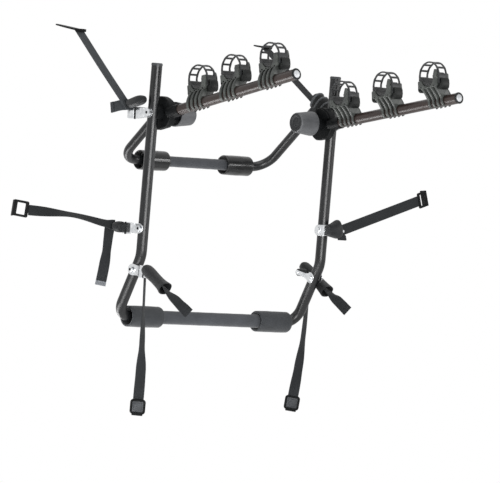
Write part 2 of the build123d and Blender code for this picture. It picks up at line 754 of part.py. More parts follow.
def strap_centre(plan):
    """The distance of a strap's centre line outboard of the bracket's inner face."""
    return side_signs[plan["side"]] * plan["boot_half_width"]


def run_points(start, steps, sign):
    """The corners of a strap, each a step from the one before, with X steps outwards."""
    points = [start]
    for x, y, z in steps:
        points.append(points[-1] + Vector(sign * x, y, z))
    return points


def spread_across(spread, way):
    """The part of a direction that is square to the strap."""
    flat = Vector(*spread)
    return (flat - way * flat.dot(way)).normalized()


def hook_frame(plan):
    """The face of a hook, with sketch y away from the webbing and its normal towards the car."""
    sign = side_signs[plan["side"]]
    end = webbing_line(plan)[-1]
    if plan["hook"] == "hatch":
        x, y, z = plan["hook_step"]
        way = Vector(sign * x, y, z).normalized()
    else:
        points = webbing_line(plan)
        way = (points[-1] - points[-2]).normalized()
    across_way = spread_across(plan["run_spread"], way)
    return Plane(end, x_dir=across_way, z_dir=across_way.cross(way))


def webbing_line(plan):
    """The points of a strap's run, from the boot to the hook."""
    sign = side_signs[plan["side"]]
    pin = strap_places(plan)[1] + Vector(strap_centre(plan), 0, 0)
    points = run_points(pin + way_at(plan["boot_angle"]) * plan["run_from"], plan["run"], sign)
    first = (points[1] - points[0]).normalized()
    points[0] = points[0] + first * webbing_start
    return points


def tail_line(plan):
    """The points of a strap's loose tail."""
    pin = strap_places(plan)[1] + Vector(strap_centre(plan), 0, 0)
    start = pin + way_at(plan["boot_angle"]) * plan["tail_from"]
    return run_points(start, plan["tail"], side_signs[plan["side"]])


def add_ribbon(points, spread, end_trim):
    """Webbing along straight runs, with a round fold at each corner."""
    for number in range(len(points) - 1):
        way = (points[number + 1] - points[number]).normalized()
        wide = spread_across(spread, way)
        length = (points[number + 1] - points[number]).length
        if number == len(points) - 2:
            length = length - end_trim
        with BuildSketch(Plane(points[number], x_dir=wide, z_dir=way)) as section:
            Rectangle(webbing_width, webbing_thickness)
        extrude(section.sketch, amount=length)
        if number > 0:
            with BuildSketch(Plane(points[number], z_dir=wide)) as fold:
                Circle(webbing_thickness / 2)
            extrude(fold.sketch, amount=webbing_width / 2, both=True)


def make_webbing(plan, bracket):
    """One strap, with its run, its loose tail and the stitched loop round the hook."""
    hook = hook_sizes[plan["hook"]]
    frame = hook_frame(plan)
    wall = webbing_thickness + face_gap
    loop_depth = hook["plate"] + 2 * face_gap
    with BuildPart() as piece:
        add_ribbon(webbing_line(plan), plan["run_spread"], wall - loop_overlap)
        add_ribbon(tail_line(plan), plan["tail_spread"], 0)
        with BuildSketch(frame):
            with Locations((0, -wall)):
                Rectangle(webbing_width, hook["bar"] + 2 * wall, align=(Align.CENTER, Align.MIN))
        extrude(amount=loop_depth / 2 + webbing_thickness, both=True)
        with BuildSketch(frame):
            with Locations((0, -face_gap)):
                Rectangle(
                    2 * webbing_width, hook["bar"] + 2 * face_gap, align=(Align.CENTER, Align.MIN))
        extrude(amount=loop_depth / 2, both=True, mode=Mode.SUBTRACT)
        add(bracket.part, mode=Mode.SUBTRACT)
    return piece


def make_hook(plan):
    """The hook at the end of the webbing, with a window for its loop and a bent lip."""
    hook = hook_sizes[plan["hook"]]
    frame = hook_frame(plan)
    if plan["hook"] == "hatch":
        lip_way = -1 if frame.z_dir.Z > 0 else 1
    else:
        lip_way = 1 if frame.z_dir.Y > 0 else -1
    with BuildPart() as piece:
        with BuildSketch(frame) as outline:
            Rectangle(hook["width"], hook["length"], align=(Align.CENTER, Align.MIN))
            fillet(outline.vertices().group_by(Axis.Y)[0], radius=hook_round)
            with Locations((0, hook["bar"])):
                Rectangle(
                    webbing_width + 2 * hook_side_room, hook["window"],
                    align=(Align.CENTER, Align.MIN), mode=Mode.SUBTRACT)
        extrude(amount=hook["plate"] / 2, both=True)
        with BuildSketch(frame):
            with Locations((0, hook["length"])):
                Rectangle(hook["width"], hook["plate"], align=(Align.CENTER, Align.MAX))
        extrude(amount=lip_way * (hook["plate"] / 2 + hook["lip"]))
    return piece


def make_boot(plan, bracket, webbing):
    """The rubber boot over the buckle, hollowed for the bracket, the webbing and the pivot head."""
    sign = side_signs[plan["side"]]
    pivot, pin = strap_places(plan)
    way = way_at(plan["boot_angle"])
    side_way = way_at(plan["boot_angle"] + 90)
    start = pin - way * plan["boot_back"] + side_way * plan["boot_lift"]
    if plan["pivot_drop"] > 0:
        pocket_radius = rivet_head_radius + boot_pocket
        pocket_depth = bracket_gap + rivet_head + boot_pocket
    else:
        pocket_radius = bolt_head_radius + boot_pocket
        pocket_depth = bracket_gap + bolt_head_height + boot_pocket
    with BuildPart() as piece:
        with BuildSketch(Plane(start, x_dir=way, z_dir=(1, 0, 0))) as outline:
            Rectangle(
                plan["boot_length"], 2 * plan["boot_half_height"], align=(Align.MIN, Align.CENTER))
            fillet(outline.vertices(), radius=boot_round)
        extrude(amount=sign * 2 * plan["boot_half_width"])
        with BuildSketch(across(pivot)):
            Circle(pocket_radius)
        extrude(amount=sign * (bracket_plate + pocket_depth), mode=Mode.SUBTRACT)
        add(bracket.part, mode=Mode.SUBTRACT)
        add(webbing.part, mode=Mode.SUBTRACT)
    return piece


for name, plan in strap_plans.items():
    bracket = make_bracket(plan)
    webbing = make_webbing(plan, bracket)
    save(bracket, f"{name}_strap_bracket")
    save(webbing, f"{name}_strap_webbing")
    save(make_hook(plan), f"{name}_strap_hook")
    save(make_boot(plan, bracket, webbing), f"{name}_strap_boot")
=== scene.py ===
from math import asin, cos, degrees, pi, radians, sin

import bmesh
import bpy
from mathutils import Matrix, Vector, noise


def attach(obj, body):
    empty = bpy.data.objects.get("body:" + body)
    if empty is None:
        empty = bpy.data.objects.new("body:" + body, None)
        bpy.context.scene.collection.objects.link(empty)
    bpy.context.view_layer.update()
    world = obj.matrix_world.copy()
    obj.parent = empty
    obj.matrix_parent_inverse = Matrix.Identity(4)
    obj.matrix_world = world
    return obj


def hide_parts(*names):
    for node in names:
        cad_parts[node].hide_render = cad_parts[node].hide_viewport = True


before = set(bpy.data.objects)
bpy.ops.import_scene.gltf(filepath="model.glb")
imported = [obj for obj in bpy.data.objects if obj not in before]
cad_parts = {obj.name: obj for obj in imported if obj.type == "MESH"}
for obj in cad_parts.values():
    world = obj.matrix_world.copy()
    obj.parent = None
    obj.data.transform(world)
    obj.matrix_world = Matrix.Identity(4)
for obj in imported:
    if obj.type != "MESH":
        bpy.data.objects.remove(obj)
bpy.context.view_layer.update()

scene = bpy.context.scene
print("frame loaded:", len(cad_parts), "nodes")

# Places that all the pieces share, in millimetres: X to the right, Y away from the viewer, Z up
rack = {
    "hubY": -131.0, "hubZ": 467.0, "armX": 250.3, "armDrop": 4.0, "bracketX": 291.1, "webbingX": 306.1,
    "armAngle": {"left": 7.8, "right": 4.5}, "side": {"left": -1, "right": 1},
}


# Camera, at the photo's viewing angle
cameraPlan = {
    "azimuth": -41.0, "elevation": -3.4, "distance": 14.0, "pixelsPerMetre": 425.0,
    "hubPixel": (243.5, 119.0), "picture": (500, 483), "sensor": 36.0,
}


def outward(plan):  # from the rack, degrees round it from the viewer's side, and up
    turn, rise = radians(plan["azimuth"]), radians(plan["elevation"])
    return Vector((sin(turn) * cos(rise), -cos(turn) * cos(rise), sin(rise)))


def aim(thing, spot, way):  # a camera or a lamp
    thing.location = spot
    thing.rotation_mode = "QUATERNION"
    thing.rotation_quaternion = way.to_track_quat("-Z", "Y")
    scene.collection.objects.link(thing)


def makeCamera(plan):
    turn, scale = radians(plan["azimuth"]), plan["pixelsPerMetre"]
    back, right = outward(plan), Vector((cos(turn), sin(turn), 0))
    up = back.cross(right)
    hub = Vector((0, rack["hubY"], rack["hubZ"])) / 1000
    width, height = plan["picture"]
    target = (hub + right * (width / 2 - plan["hubPixel"][0]) / scale
              - up * (height / 2 - plan["hubPixel"][1]) / scale)
    data = bpy.data.cameras.new("camera")
    data.sensor_width = plan["sensor"]
    data.lens = scale * plan["distance"] * plan["sensor"] / width
    data.clip_start, data.clip_end = 0.1, 100
    scene.camera = bpy.data.objects.new("camera", data)
    aim(scene.camera, target + back * plan["distance"], -back)
    return back, up, target


back, up, target = makeCamera(cameraPlan)


# Finishes
def tone(code):  # a colour as it looks on screen
    parts = [int(code[at:at + 2], 16) / 255 for at in (0, 2, 4)]
    return tuple(p / 12.92 if p <= 0.04045 else ((p + 0.055) / 1.055) ** 2.4 for p in parts) + (1.0,)


class Wire:  # a socket that can be used in sums
    def __init__(self, owner, socket):
        self.owner = owner
        self.socket = socket

    def reckon(self, operation, *values):
        return self.owner.node("ShaderNodeMath", {"operation": operation}, dict(enumerate(values)))

    def __add__(self, other):
        return self.reckon("ADD", self, other)

    def __sub__(self, other):
        return self.reckon("SUBTRACT", self, other)

    def __rsub__(self, other):
        return self.reckon("SUBTRACT", other, self)

    def __mul__(self, other):
        return self.reckon("MULTIPLY", self, other)

    def __abs__(self):
        return self.reckon("ABSOLUTE", self)

    def __gt__(self, other):
        return self.reckon("GREATER_THAN", self, other)

    __radd__ = __add__

    def sine(self):
        return self.reckon("SINE", self)


class Finish:  # one material, with its shader and nodes
    def __init__(self, name, fixed=None, tree=None):
        if tree is None:
            self.material = bpy.data.materials.new(name)
            self.material.use_nodes = True
            tree = self.material.node_tree
            self.shader = next(n for n in tree.nodes if n.type == "BSDF_PRINCIPLED")
            for socket, value in (fixed or {}).items():
                self.shader.inputs[socket].default_value = value
        self.tree = tree

    def node(self, kind, settings=None, inputs=None, output=0):
        made = self.tree.nodes.new(kind)
        for key, value in (settings or {}).items():
            setattr(made, key, value)
        for key, value in (inputs or {}).items():
            if isinstance(value, Wire):
                self.tree.links.new(value.socket, made.inputs[key])
            else:
                made.inputs[key].default_value = value
        return Wire(self, made.outputs[output])

    def give(self, socket, wire):
        self.tree.links.new(wire.socket, self.shader.inputs[socket])

    def place(self):
        return self.node("ShaderNodeTexCoord", output="Object")

    def stretched(self, scale, turn=(0, 0, 0)):
        return self.node("ShaderNodeMapping", None, {
            "Vector": self.place(), "Scale": scale, "Rotation": [radians(t) for t in turn]})

    def cloud(self, place, scale, detail=2.0, rough=0.5):
        return self.node("ShaderNodeTexNoise", None, {
            "Vector": place, "Scale": scale, "Detail": detail, "Roughness": rough})

    def cells(self, place, scale):
        return self.node("ShaderNodeTexVoronoi", None, {"Vector": place, "Scale": scale})

    def mixed(self, factor, first, second):
        return self.node("ShaderNodeMix", {"data_type": "RGBA"}, {0: factor, 6: first, 7: second}, 2)

    def spread(self, factor, low, high):
        return self.node("ShaderNodeMapRange", {"clamp": True}, {
            "Value": factor, "From Min": low, "From Max": high})

    def relief(self, height, depth, strength):
        self.give("Normal", self.node("ShaderNodeBump", None, {
            "Height": height, "Distance": depth, "Strength": strength}))


def paintedMetal(name, dark, light, roughness, gloss):
    finish = Finish(name, {"Specular IOR Level": gloss})
    place = finish.place()
    peel = finish.cloud(place, 620, 2.0)  # orange peel of the powder coat
    smudge = finish.spread(finish.cloud(place, 17, 4.0, 0.6), 0.35, 0.7)
    grain = finish.cloud(place, 2400, 1.0)
    finish.give("Base Color", finish.mixed(smudge * 0.7 + grain * 0.3, tone(dark), tone(light)))
    finish.give("Roughness", roughness + smudge * 0.09 + grain * 0.04)
    finish.relief(peel * 0.7 + grain * 0.3, 0.00012, 0.12)
    return finish.material


def mouldedPlastic(name, dark, light, roughness, gloss=0.35):
    finish = Finish(name, {"Specular IOR Level": gloss})
    place = finish.place()
    grain = finish.cells(place, 900)  # spark-eroded mould texture
    flow = finish.spread(finish.cloud(finish.stretched((1, 1, 2.4)), 34, 3.0), 0.3, 0.7)
    scratch = finish.cloud(finish.stretched((1, 4, 1), (0, 30, 0)), 130, 4.0, 0.7)
    scuff = finish.spread(scratch, 0.62, 0.78)
    finish.give("Base Color", finish.mixed(flow * 0.75 + scuff * 0.25, tone(dark), tone(light)))
    finish.give("Roughness", roughness + flow * 0.08 - scuff * 0.07)
    finish.relief(grain, 0.00010, 0.3)
    return finish.material


def softRubber(name, dark, light, roughness, gloss=0.3):
    finish = Finish(name, {"Specular IOR Level": gloss, "Sheen Weight": 0.06, "Sheen Roughness": 0.6})
    place = finish.place()
    bloom = finish.spread(finish.cloud(place, 42, 5.0, 0.65), 0.38, 0.72)  # pale bloom on old rubber
    pores = finish.cloud(place, 1500, 2.0)
    creases = finish.cloud(finish.stretched((1, 1, 3)), 120, 3.0)
    finish.give("Base Color", finish.mixed(bloom * 0.8 + pores * 0.2, tone(dark), tone(light)))
    finish.give("Roughness", roughness + bloom * 0.1)
    finish.relief(pores * 0.4 + creases * 0.6, 0.00022, 0.2)
    return finish.material


def closedFoam(name, dark, light):
    finish = Finish(name, {"Specular IOR Level": 0.22, "Sheen Weight": 0.12, "Sheen Roughness": 0.5})
    place = finish.place()
    cells = finish.cells(place, 620)
    fine = finish.cloud(place, 1900, 2.0)
    dents = finish.cloud(finish.stretched((0.6, 1, 1)), 26, 4.0, 0.6)
    # the dents are painted darker than the foam round them, painted shade; the fine noise is a random tone
    dentShade = finish.spread(dents, 0.35, 0.7)
    finish.give("Base Color", finish.mixed(dentShade * 0.6 + fine * 0.4, tone(dark), tone(light)))
    finish.give("Roughness", 0.82 + fine * 0.14)
    finish.relief(cells * 0.35 + fine * 0.25 + dents * 0.9, 0.0007, 0.5)
    return finish.material


def platedSteel(name, bright, dull):
    finish = Finish(name, {"Specular IOR Level": 0.5})
    place = finish.place()
    spangle = finish.cells(place, 150)
    streak = finish.cloud(finish.stretched((0.25, 1, 1)), 900, 3.0)
    stain = finish.spread(finish.cloud(place, 55, 5.0, 0.7), 0.55, 0.8)
    tarnish = spangle * 0.5 + streak * 0.3 + stain * 0.4
    finish.give("Base Color", finish.mixed(tarnish, tone(bright), tone(dull)))
    finish.give("Metallic", 0.98 - stain * 0.25)
    finish.give("Roughness", 0.17 + streak * 0.1 + stain * 0.2)
    finish.relief(streak * 0.5 + spangle * 0.3, 0.00008, 0.5)
    return finish.material


weavePlan = {"stitch": 0.0019, "yarn": 0.0021, "selvedge": 0.0111}  # metres: along, across, from the middle


def wovenWebbing(name, dark, light):
    finish = Finish(name, {"Specular IOR Level": 0.14, "Sheen Weight": 0.05, "Sheen Roughness": 0.4})
    weave = finish.node("ShaderNodeUVMap", {"uv_map": "weave"})
    along = finish.node("ShaderNodeSeparateXYZ", None, {0: weave}, 0)
    across = finish.node("ShaderNodeSeparateXYZ", None, {0: weave}, 1)
    yarns = (across * (pi / weavePlan["yarn"])).sine()
    column = yarns > 0.0  # neighbours lie half a stitch apart
    crowns = abs((along * (pi / weavePlan["stitch"]) + column * (pi / 2)).sine())
    selvedge = abs(across) > weavePlan["selvedge"]
    fuzz = finish.cloud(finish.place(), 900, 3.0)
    height = crowns * 0.55 + abs(yarns) * 0.35 + fuzz * 0.25 + selvedge * 0.35
    wear = finish.spread(finish.cloud(finish.place(), 24, 4.0), 0.4, 0.7)
    # the weave's hollows are painted darker and its crowns and selvedge lighter, painted shade of its
    # relief; the wear is a real tone
    finish.give("Base Color", finish.mixed(height * 0.62 + wear * 0.2, tone(dark), tone(light)))
    finish.give("Roughness", 0.7 + fuzz * 0.25)
    finish.relief(height, 0.0005, 0.7)
    return finish.material


finishPlan = {  # how each is made, its two tones, its roughness and its gloss
    "frameBlack": (paintedMetal, "090a0b", "111214", 0.28, 0.34),
    "armBlack": (paintedMetal, "1d1614", "2b211e", 0.27, 0.35),
    "foam": (closedFoam, "212325", "303235"),
    # the upper pads' foam, the same as the lower, painted near-black as shade and made glossier
    "foamGlossShade": (softRubber, "060707", "0e0f10", 0.2, 0.26),
    "grip": (closedFoam, "2d2f32", "3b3d41"),
    "cap": (mouldedPlastic, "1f2123", "34373a", 0.38),
    # near-black: the hubs' own plastic, and also painted shade on the bracket pins and on the socket discs
    "hub": (mouldedPlastic, "08090a", "111213", 0.45, 0.09),
    "knob": (mouldedPlastic, "3d3e40", "4c4d4f", 0.42, 0.3),
    # near-black skin in the knobs' dished faces: painted shade
    "knobDishShade": (mouldedPlastic, "191a1b", "262728", 0.5, 0.2),
    # the cradle's one plastic in two tones: darker on the jaw as painted shade, lighter on the ribs and
    # walls as painted highlight
    "cradle": (mouldedPlastic, "0f1010", "1b1d1c", 0.45, 0.16),
    "cradlePaintedHighlight": (mouldedPlastic, "292b2a", "434643", 0.4, 0.34),
    "plugRing": (softRubber, "070808", "111213", 0.42, 0.12),
    "plugDome": (mouldedPlastic, "8d8f91", "b4b6b8", 0.3, 0.5),
    "cushion": (softRubber, "0c0d0e", "1b1c1d", 0.5),
    "ladder": (softRubber, "0f1011", "212325", 0.42),
    "boot": (softRubber, "0c0d0e", "1a1c1e", 0.46, 0.12),
    "bootDark": (softRubber, "070808", "0e0f10", 0.6, 0.12),
    "bootRim": (softRubber, "2e3032", "4a4d50", 0.45),
    "webbing": (wovenWebbing, "0b0c0d", "26282a"),
    "webbingGrey": (wovenWebbing, "1c1e20", "3e4144"),
    "hem": (wovenWebbing, "3a3c3f", "6c6f73"),
    "zinc": (platedSteel, "e8e9ea", "a2a6aa"),
    "hookPanel": (mouldedPlastic, "242628", "37393c", 0.5, 0.2),
    "hook": (mouldedPlastic, "060707", "0d0e0f", 0.45, 0.06),
}
finishes = {name: make(name, *values) for name, (make, *values) in finishPlan.items()}
print("finishes made:", len(finishes))


# Making and placing pieces
def stand(origin, xWay, zWay):  # a frame in metres, for shapes in millimetres
    x, z = Vector(xWay).normalized(), Vector(zWay).normalized()
    y = z.cross(x)
    place = Matrix((x, y, z)).transposed().to_4x4()
    place.translation = Vector(origin) / 1000
    return place @ Matrix.Scale(0.001, 4)


def settle(bm, name, place, finish, body, nodes=(), sharp=38.0, levels=0):
    bmesh.ops.transform(bm, matrix=place, verts=bm.verts)
    bmesh.ops.remove_doubles(bm, verts=bm.verts, dist=0.000004)
    bmesh.ops.recalc_face_normals(bm, faces=bm.faces)
    mesh = bpy.data.meshes.new(name)
    bm.to_mesh(mesh)
    bm.free()
    mesh.polygons.foreach_set("use_smooth", [True] * len(mesh.polygons))
    mesh.set_sharp_from_angle(angle=radians(sharp))
    mesh.materials.append(finishes[finish])
    piece = bpy.data.objects.new(name, mesh)
    scene.collection.objects.link(piece)
    if levels:
        rounder = piece.modifiers.new("rounder", "SUBSURF")
        rounder.levels = rounder.render_levels = levels
    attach(piece, body)
    if nodes:
        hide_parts(*nodes)
    return piece


def arc(centreX, centreY, radius, start, end, steps):
    turns = [radians(start + (end - start) * n / steps) for n in range(steps + 1)]
    return [(centreX + radius * cos(t), centreY + radius * sin(t)) for t in turns]


def lathe(profile, steps):  # a closed outline of (x, radius), turned about X
    bm = bmesh.new()
    verts = [bm.verts.new((x, 0, r)) for x, r in profile]
    edges = [bm.edges.new(pair) for pair in zip(verts, verts[1:] + verts[:1])]
    bmesh.ops.spin(bm, geom=verts + edges, cent=(0, 0, 0), axis=(1, 0, 0), dvec=(0, 0, 0),
                   angle=2 * pi, steps=steps, use_merge=True, use_duplicate=False)
    bmesh.ops.remove_doubles(bm, verts=bm.verts, dist=0.001)
    bmesh.ops.dissolve_degenerate(bm, edges=bm.edges, dist=0.0005)
    return bm


def rod(start, end, radius, steps):  # a bar along X with bevelled ends
    return lathe([(start, 0), (start, radius - 0.6), (start + 0.6, radius), (end - 0.6, radius),
                  (end, radius - 0.6), (end, 0)], steps)


def folded(edges, angle):  # the edges at which two faces meet at more than an angle
    return [e for e in edges if len(e.link_faces) == 2 and e.calc_face_angle(0) > radians(angle)]


def soften(bm, edges, width, segments=2):
    bmesh.ops.bevel(bm, geom=edges, offset=width, offset_type="OFFSET", segments=segments, profile=0.5,
                    affect="EDGES", clamp_overlap=True, material=-1)


def slab(bm, outline, low, high, turn, soft, segments=2):  # a flat shape with thickness and soft edges
    verts = [bm.verts.new((x, y, low)) for x, y in outline]
    face = bm.faces.new(verts)
    grown = bmesh.ops.extrude_face_region(bm, geom=[face])["geom"]
    tops = [g for g in grown if isinstance(g, bmesh.types.BMVert)]
    bmesh.ops.translate(bm, verts=tops, vec=(0, 0, high - low))
    every = verts + tops
    if turn is not None:
        bmesh.ops.transform(bm, matrix=turn, verts=every)
    bmesh.ops.recalc_face_normals(bm, faces=list({f for v in every for f in v.link_faces}))
    soften(bm, folded({e for v in every for e in v.link_edges}, 32), soft, segments)


def sweepEdges(bm, edges, stations):  # carries a row or ring of edges from station to station
    layer = bm.verts.layers.float.get("along") or bm.verts.layers.float.new("along")
    travelled = 0.0
    for before, after in zip(stations, stations[1:]):
        grown = bmesh.ops.extrude_edge_only(bm, edges=edges)["geom"]
        edges = [g for g in grown if isinstance(g, bmesh.types.BMEdge)]
        verts = [g for g in grown if isinstance(g, bmesh.types.BMVert)]
        ends = {v for e in edges for v in e.verts}
        edges = [e for e in edges if all(v in verts for v in e.verts)]
        bmesh.ops.transform(bm, matrix=after @ before.inverted(), verts=[v for v in verts if v in ends])
        travelled += (after.translation - before.translation).length
        for vert in verts:
            vert[layer] = travelled
    return edges


def ovalRing(bm, station, count, power):  # a rounded-box ring of edges, one unit in half width
    verts = []
    for n in range(count):
        turn = 2 * pi * (n + 0.5) / count
        c, s = cos(turn), sin(turn)
        reach = (abs(c) ** power + abs(s) ** power) ** (-1 / power)
        verts.append(bm.verts.new(station @ Vector((0, c * reach, s * reach))))
    return [bm.edges.new(pair) for pair in zip(verts, verts[1:] + verts[:1])]


def loft(sections):  # closed rubber through (x, y, z, half height, half depth)
    bm = bmesh.new()
    stations = [Matrix.Translation((x, y, z)) @ Matrix.Diagonal((1, tall, deep, 1))
                for x, y, z, tall, deep in sections]
    first = ovalRing(bm, stations[0], 32, 2.6)
    last = sweepEdges(bm, first, stations)
    for ring in (first, last):
        bmesh.ops.contextual_create(bm, geom=ring)
    return bm


# Foam pads on the two crossbars, hollowed at their ends, with a sleeve between each pair
padPlan = {
    "lower": {"at": (0, 0), "tube": 12.7, "radius": 25.0, "inner": 151.0, "length": 97.0, "sleeve": 15.8,
              "finish": "foam", "body": "main_frame"},
    "upper": {"at": (49, 373), "tube": 11.1, "radius": 23.5, "inner": 90.0, "length": 80.0, "sleeve": 12.6,
              "finish": "foamGlossShade", "body": "upper_frame"},
    "fit": 0.3, "shoulder": 2.4, "lip": 1.6, "heel": 2.0, "recess": 20.0, "outerRecess": 20.0,
    "innerRecess": 12.0, "crown": 0.5, "dent": 0.35, "dentSize": 17.0, "sink": 0.3, "slit": 0.5,
    "slitHalf": 0.9, "sleeveEdge": 0.8, "sleeveGap": 0.4, "sleeveWave": 0.12,
}


def makePads(level):
    plan, shoulder, lip, heel = padPlan[level], padPlan["shoulder"], padPlan["lip"], padPlan["heel"]
    length, radius, bore = plan["length"], plan["radius"], plan["tube"] + padPlan["fit"]
    recess, deep, shallow = padPlan["recess"], padPlan["outerRecess"], padPlan["innerRecess"]
    profile = [(shallow, bore), (length - deep, bore), (length - deep, recess - heel)]
    profile += arc(length - deep + heel, recess - heel, heel, 180, 90, 4)
    profile += arc(length - lip, recess + lip, lip, 270, 360, 4)
    profile += arc(length - shoulder, radius - shoulder, shoulder, 0, 90, 6)
    profile += [(shoulder + (length - 2 * shoulder) * n / 14, radius) for n in range(13, 0, -1)]
    profile += arc(shoulder, radius - shoulder, shoulder, 90, 180, 6)
    profile += arc(lip, recess + lip, lip, 180, 270, 4)
    profile.append((shallow, recess))
    for side, sign in rack["side"].items():
        bm = lathe(profile, 72)
        for vert in bm.verts:
            spoke = Vector((0, vert.co.y, vert.co.z))
            if spoke.length > radius - 1.0:  # only the outer skin
                middle = 1 - (2 * vert.co.x / length - 1) ** 2
                dent = noise.noise(vert.co / padPlan["dentSize"] + Vector((sign * 5.0, radius, 0)))
                swell = padPlan["crown"] * middle + padPlan["dent"] * dent - padPlan["sink"]
                if spoke.y > 0 and abs(spoke.z) < padPlan["slitHalf"]:  # the slit is at the back
                    swell -= padPlan["slit"]
                vert.co += spoke.normalized() * swell
        place = stand((sign * plan["inner"], *plan["at"]), (sign, 0, 0), (0, 0, 1))
        pad = settle(bm, f"{side}_{level}_pad", place, plan["finish"], plan["body"],
                     [f"{level}_pads"], sharp=60)


def makeSleeve(level):
    plan, edge, wave = padPlan[level], padPlan["sleeveEdge"], padPlan["sleeveWave"]
    half = plan["inner"] + padPlan["innerRecess"] - padPlan["sleeveGap"]  # its ends stand in the pads
    radius, bore = plan["sleeve"], plan["tube"] + padPlan["fit"]
    profile = [(-half, bore), (half, bore)]
    profile += arc(half - edge, radius - edge, edge, 0, 90, 3)
    profile += [(half * (1 - n / 12), radius + wave * sin(n * 1.9)) for n in range(1, 24)]
    profile += arc(-half + edge, radius - edge, edge, 90, 180, 3)
    place = stand((0, *plan["at"]), (1, 0, 0), (0, 0, 1))
    sleeve = settle(lathe(profile, 48), f"{level}_sleeve", place, "grip", plan["body"],
                    [f"{level}_grip_sleeve"], sharp=60)


for make in (makePads, makeSleeve):
    for level in ("lower", "upper"):
        make(level)
print("pads and sleeves made")


# Arms: frames along them, end plugs, and a thin near-black skin in each knob's dished face, painted shade
def armPlace(side, along, inward=False):  # x runs out along the arm, z up from it
    turn, sign = radians(rack["armAngle"][side]), rack["side"][side]
    way, lift = Vector((0, -cos(turn), sin(turn))), Vector((0, sin(turn), cos(turn)))
    origin = Vector((sign * rack["armX"], rack["hubY"], rack["hubZ"]))
    origin += way * along - lift * rack["armDrop"]
    place = stand(origin, way, lift)
    if inward:  # y then runs to the middle of the rack
        place = place @ Matrix.Diagonal((1, -sign, 1, 1))
    return place


plugPlan = {
    "mouth": 474.0, "stem": 10.9, "stemLong": 12.0, "flange": 13.6, "thick": 3.0, "edge": 0.8, "rim": 1.4,
    "seat": 0.9, "dome": 8.8, "rise": 4.0,
}


def makePlug(side):
    body, mouth = f"{side}_arm", armPlace(side, plugPlan["mouth"])
    stem, inset, flange = plugPlan["stem"], -plugPlan["stemLong"], plugPlan["flange"]
    thick, dome, edge, rim = plugPlan["thick"], plugPlan["dome"], plugPlan["edge"], plugPlan["rim"]
    seat = thick - plugPlan["seat"]
    ring = [(inset, 0), (inset, stem), (0, stem), (0, flange - edge)]
    ring += arc(edge, flange - edge, edge, 180, 90, 3)
    ring += arc(thick - rim, flange - rim, rim, 90, 0, 4)
    ring += [(thick, dome + 0.5), (seat, dome + 0.2), (seat, 0)]
    settle(lathe(ring, 48), f"{side}_plug_ring", mouth, "plugRing", body, [f"{side}_arm_end_plug"])
    button = [(0.6, 0), (0.6, dome), (thick - edge, dome)]
    for n in range(1, 10):
        turn = radians(10 * n)
        button.append((thick - edge + plugPlan["rise"] * sin(turn), dome * cos(turn)))
    settle(lathe(button, 48), f"{side}_plug_dome", mouth, "plugDome", body)


knobPlan = {
    "mouth": 213.2, "tip": 50.0,  # the outline of the near-black skin in the knob's dish, painted shade, is (beyond the tip, radius)
    "dishShade": [(-4.1, 0), (-4.1, 13.2), (-0.3, 17.2), (-0.3, 21.2), (0.2, 21.0), (0.5, 20.4), (0.5, 17.6),
              (0.1, 16.8), (-3.5, 12.8), (-3.5, 7.6), (-3.9, 7.2), (-3.9, 6.2), (-3.5, 5.8), (-3.3, 0)],
}


# a thin near-black skin over the knob's dished face: painted shade of its recess
def makeKnobFace(side):
    sign = rack["side"][side]
    dishShade = lathe([(knobPlan["tip"] + x, radius) for x, radius in knobPlan["dishShade"]], 56)
    place = stand((sign * knobPlan["mouth"], rack["hubY"], rack["hubZ"]), (-sign, 0, 0), (0, 0, 1))
    settle(dishShade, f"{side}_knob_face", place, "knobDishShade", f"{side}_knob")


for side in rack["side"]:
    makePlug(side)
    makeKnobFace(side)
print("plugs and knob inlays made")


# Cradles: ribs that clip round the arm, and a jaw set in towards the middle of the rack
cradlePlan = {
    "stations": {"left": (130.0, 248.0, 384.0), "right": (100.0, 250.0, 411.0)},
    "places": ("inner", "middle", "outer"),
    "ring": 16.6, "bore": 12.9, "ribs": (-21.75, -7.25, 7.25, 21.75), "ribHalf": 3.2,
    "jawAt": 18.0, "jawHalf": 20.0, "reach": 32.0, "foot": 31.0, "top": 63.0, "hubTop": 50.0,
    "groove": 21.1, "axis": 55.0, "corner": 3.0, "heel": 7.0, "mouthEdge": 1.1,
    "walls": ((-20, -13.5), (13.5, 20)),  # across the arm, from the jaw's middle
    "cores": ((-14.5, -7, 60.0), (7, 14.5, 60.0), (-8, 8, 47.0)),  # and the height of the top
}
upright = Matrix(((0, 0, 1, 0), (1, 0, 0, 0), (0, 1, 0, 0), (0, 0, 0, 1)))  # outline in y and z, thick in x
sideways = Matrix(((1, 0, 0, 0), (0, 0, 1, 0), (0, 1, 0, 0), (0, 0, 0, 1)))  # in x and z, thick in y


def ribOutline():
    plan = cradlePlan
    near, far = plan["jawAt"] - plan["jawHalf"], plan["jawAt"] + plan["jawHalf"]
    outline = [(far, 36.0), (far, 32.0), (far - 5, 28.5), (24.0, 17.5), (18.6, 8.0)]
    outline += arc(0, 0, plan["ring"], 8, -60, 10)
    outline += arc(0, 0, plan["bore"], -51, 231, 30)
    outline += arc(0, 0, plan["ring"], 240, 180, 8)
    outline += [(-16.4, 7.0), (-13.6, 15.0), (-8.0, 24.5), (near, 31.0), (near, 36.0)]
    return outline


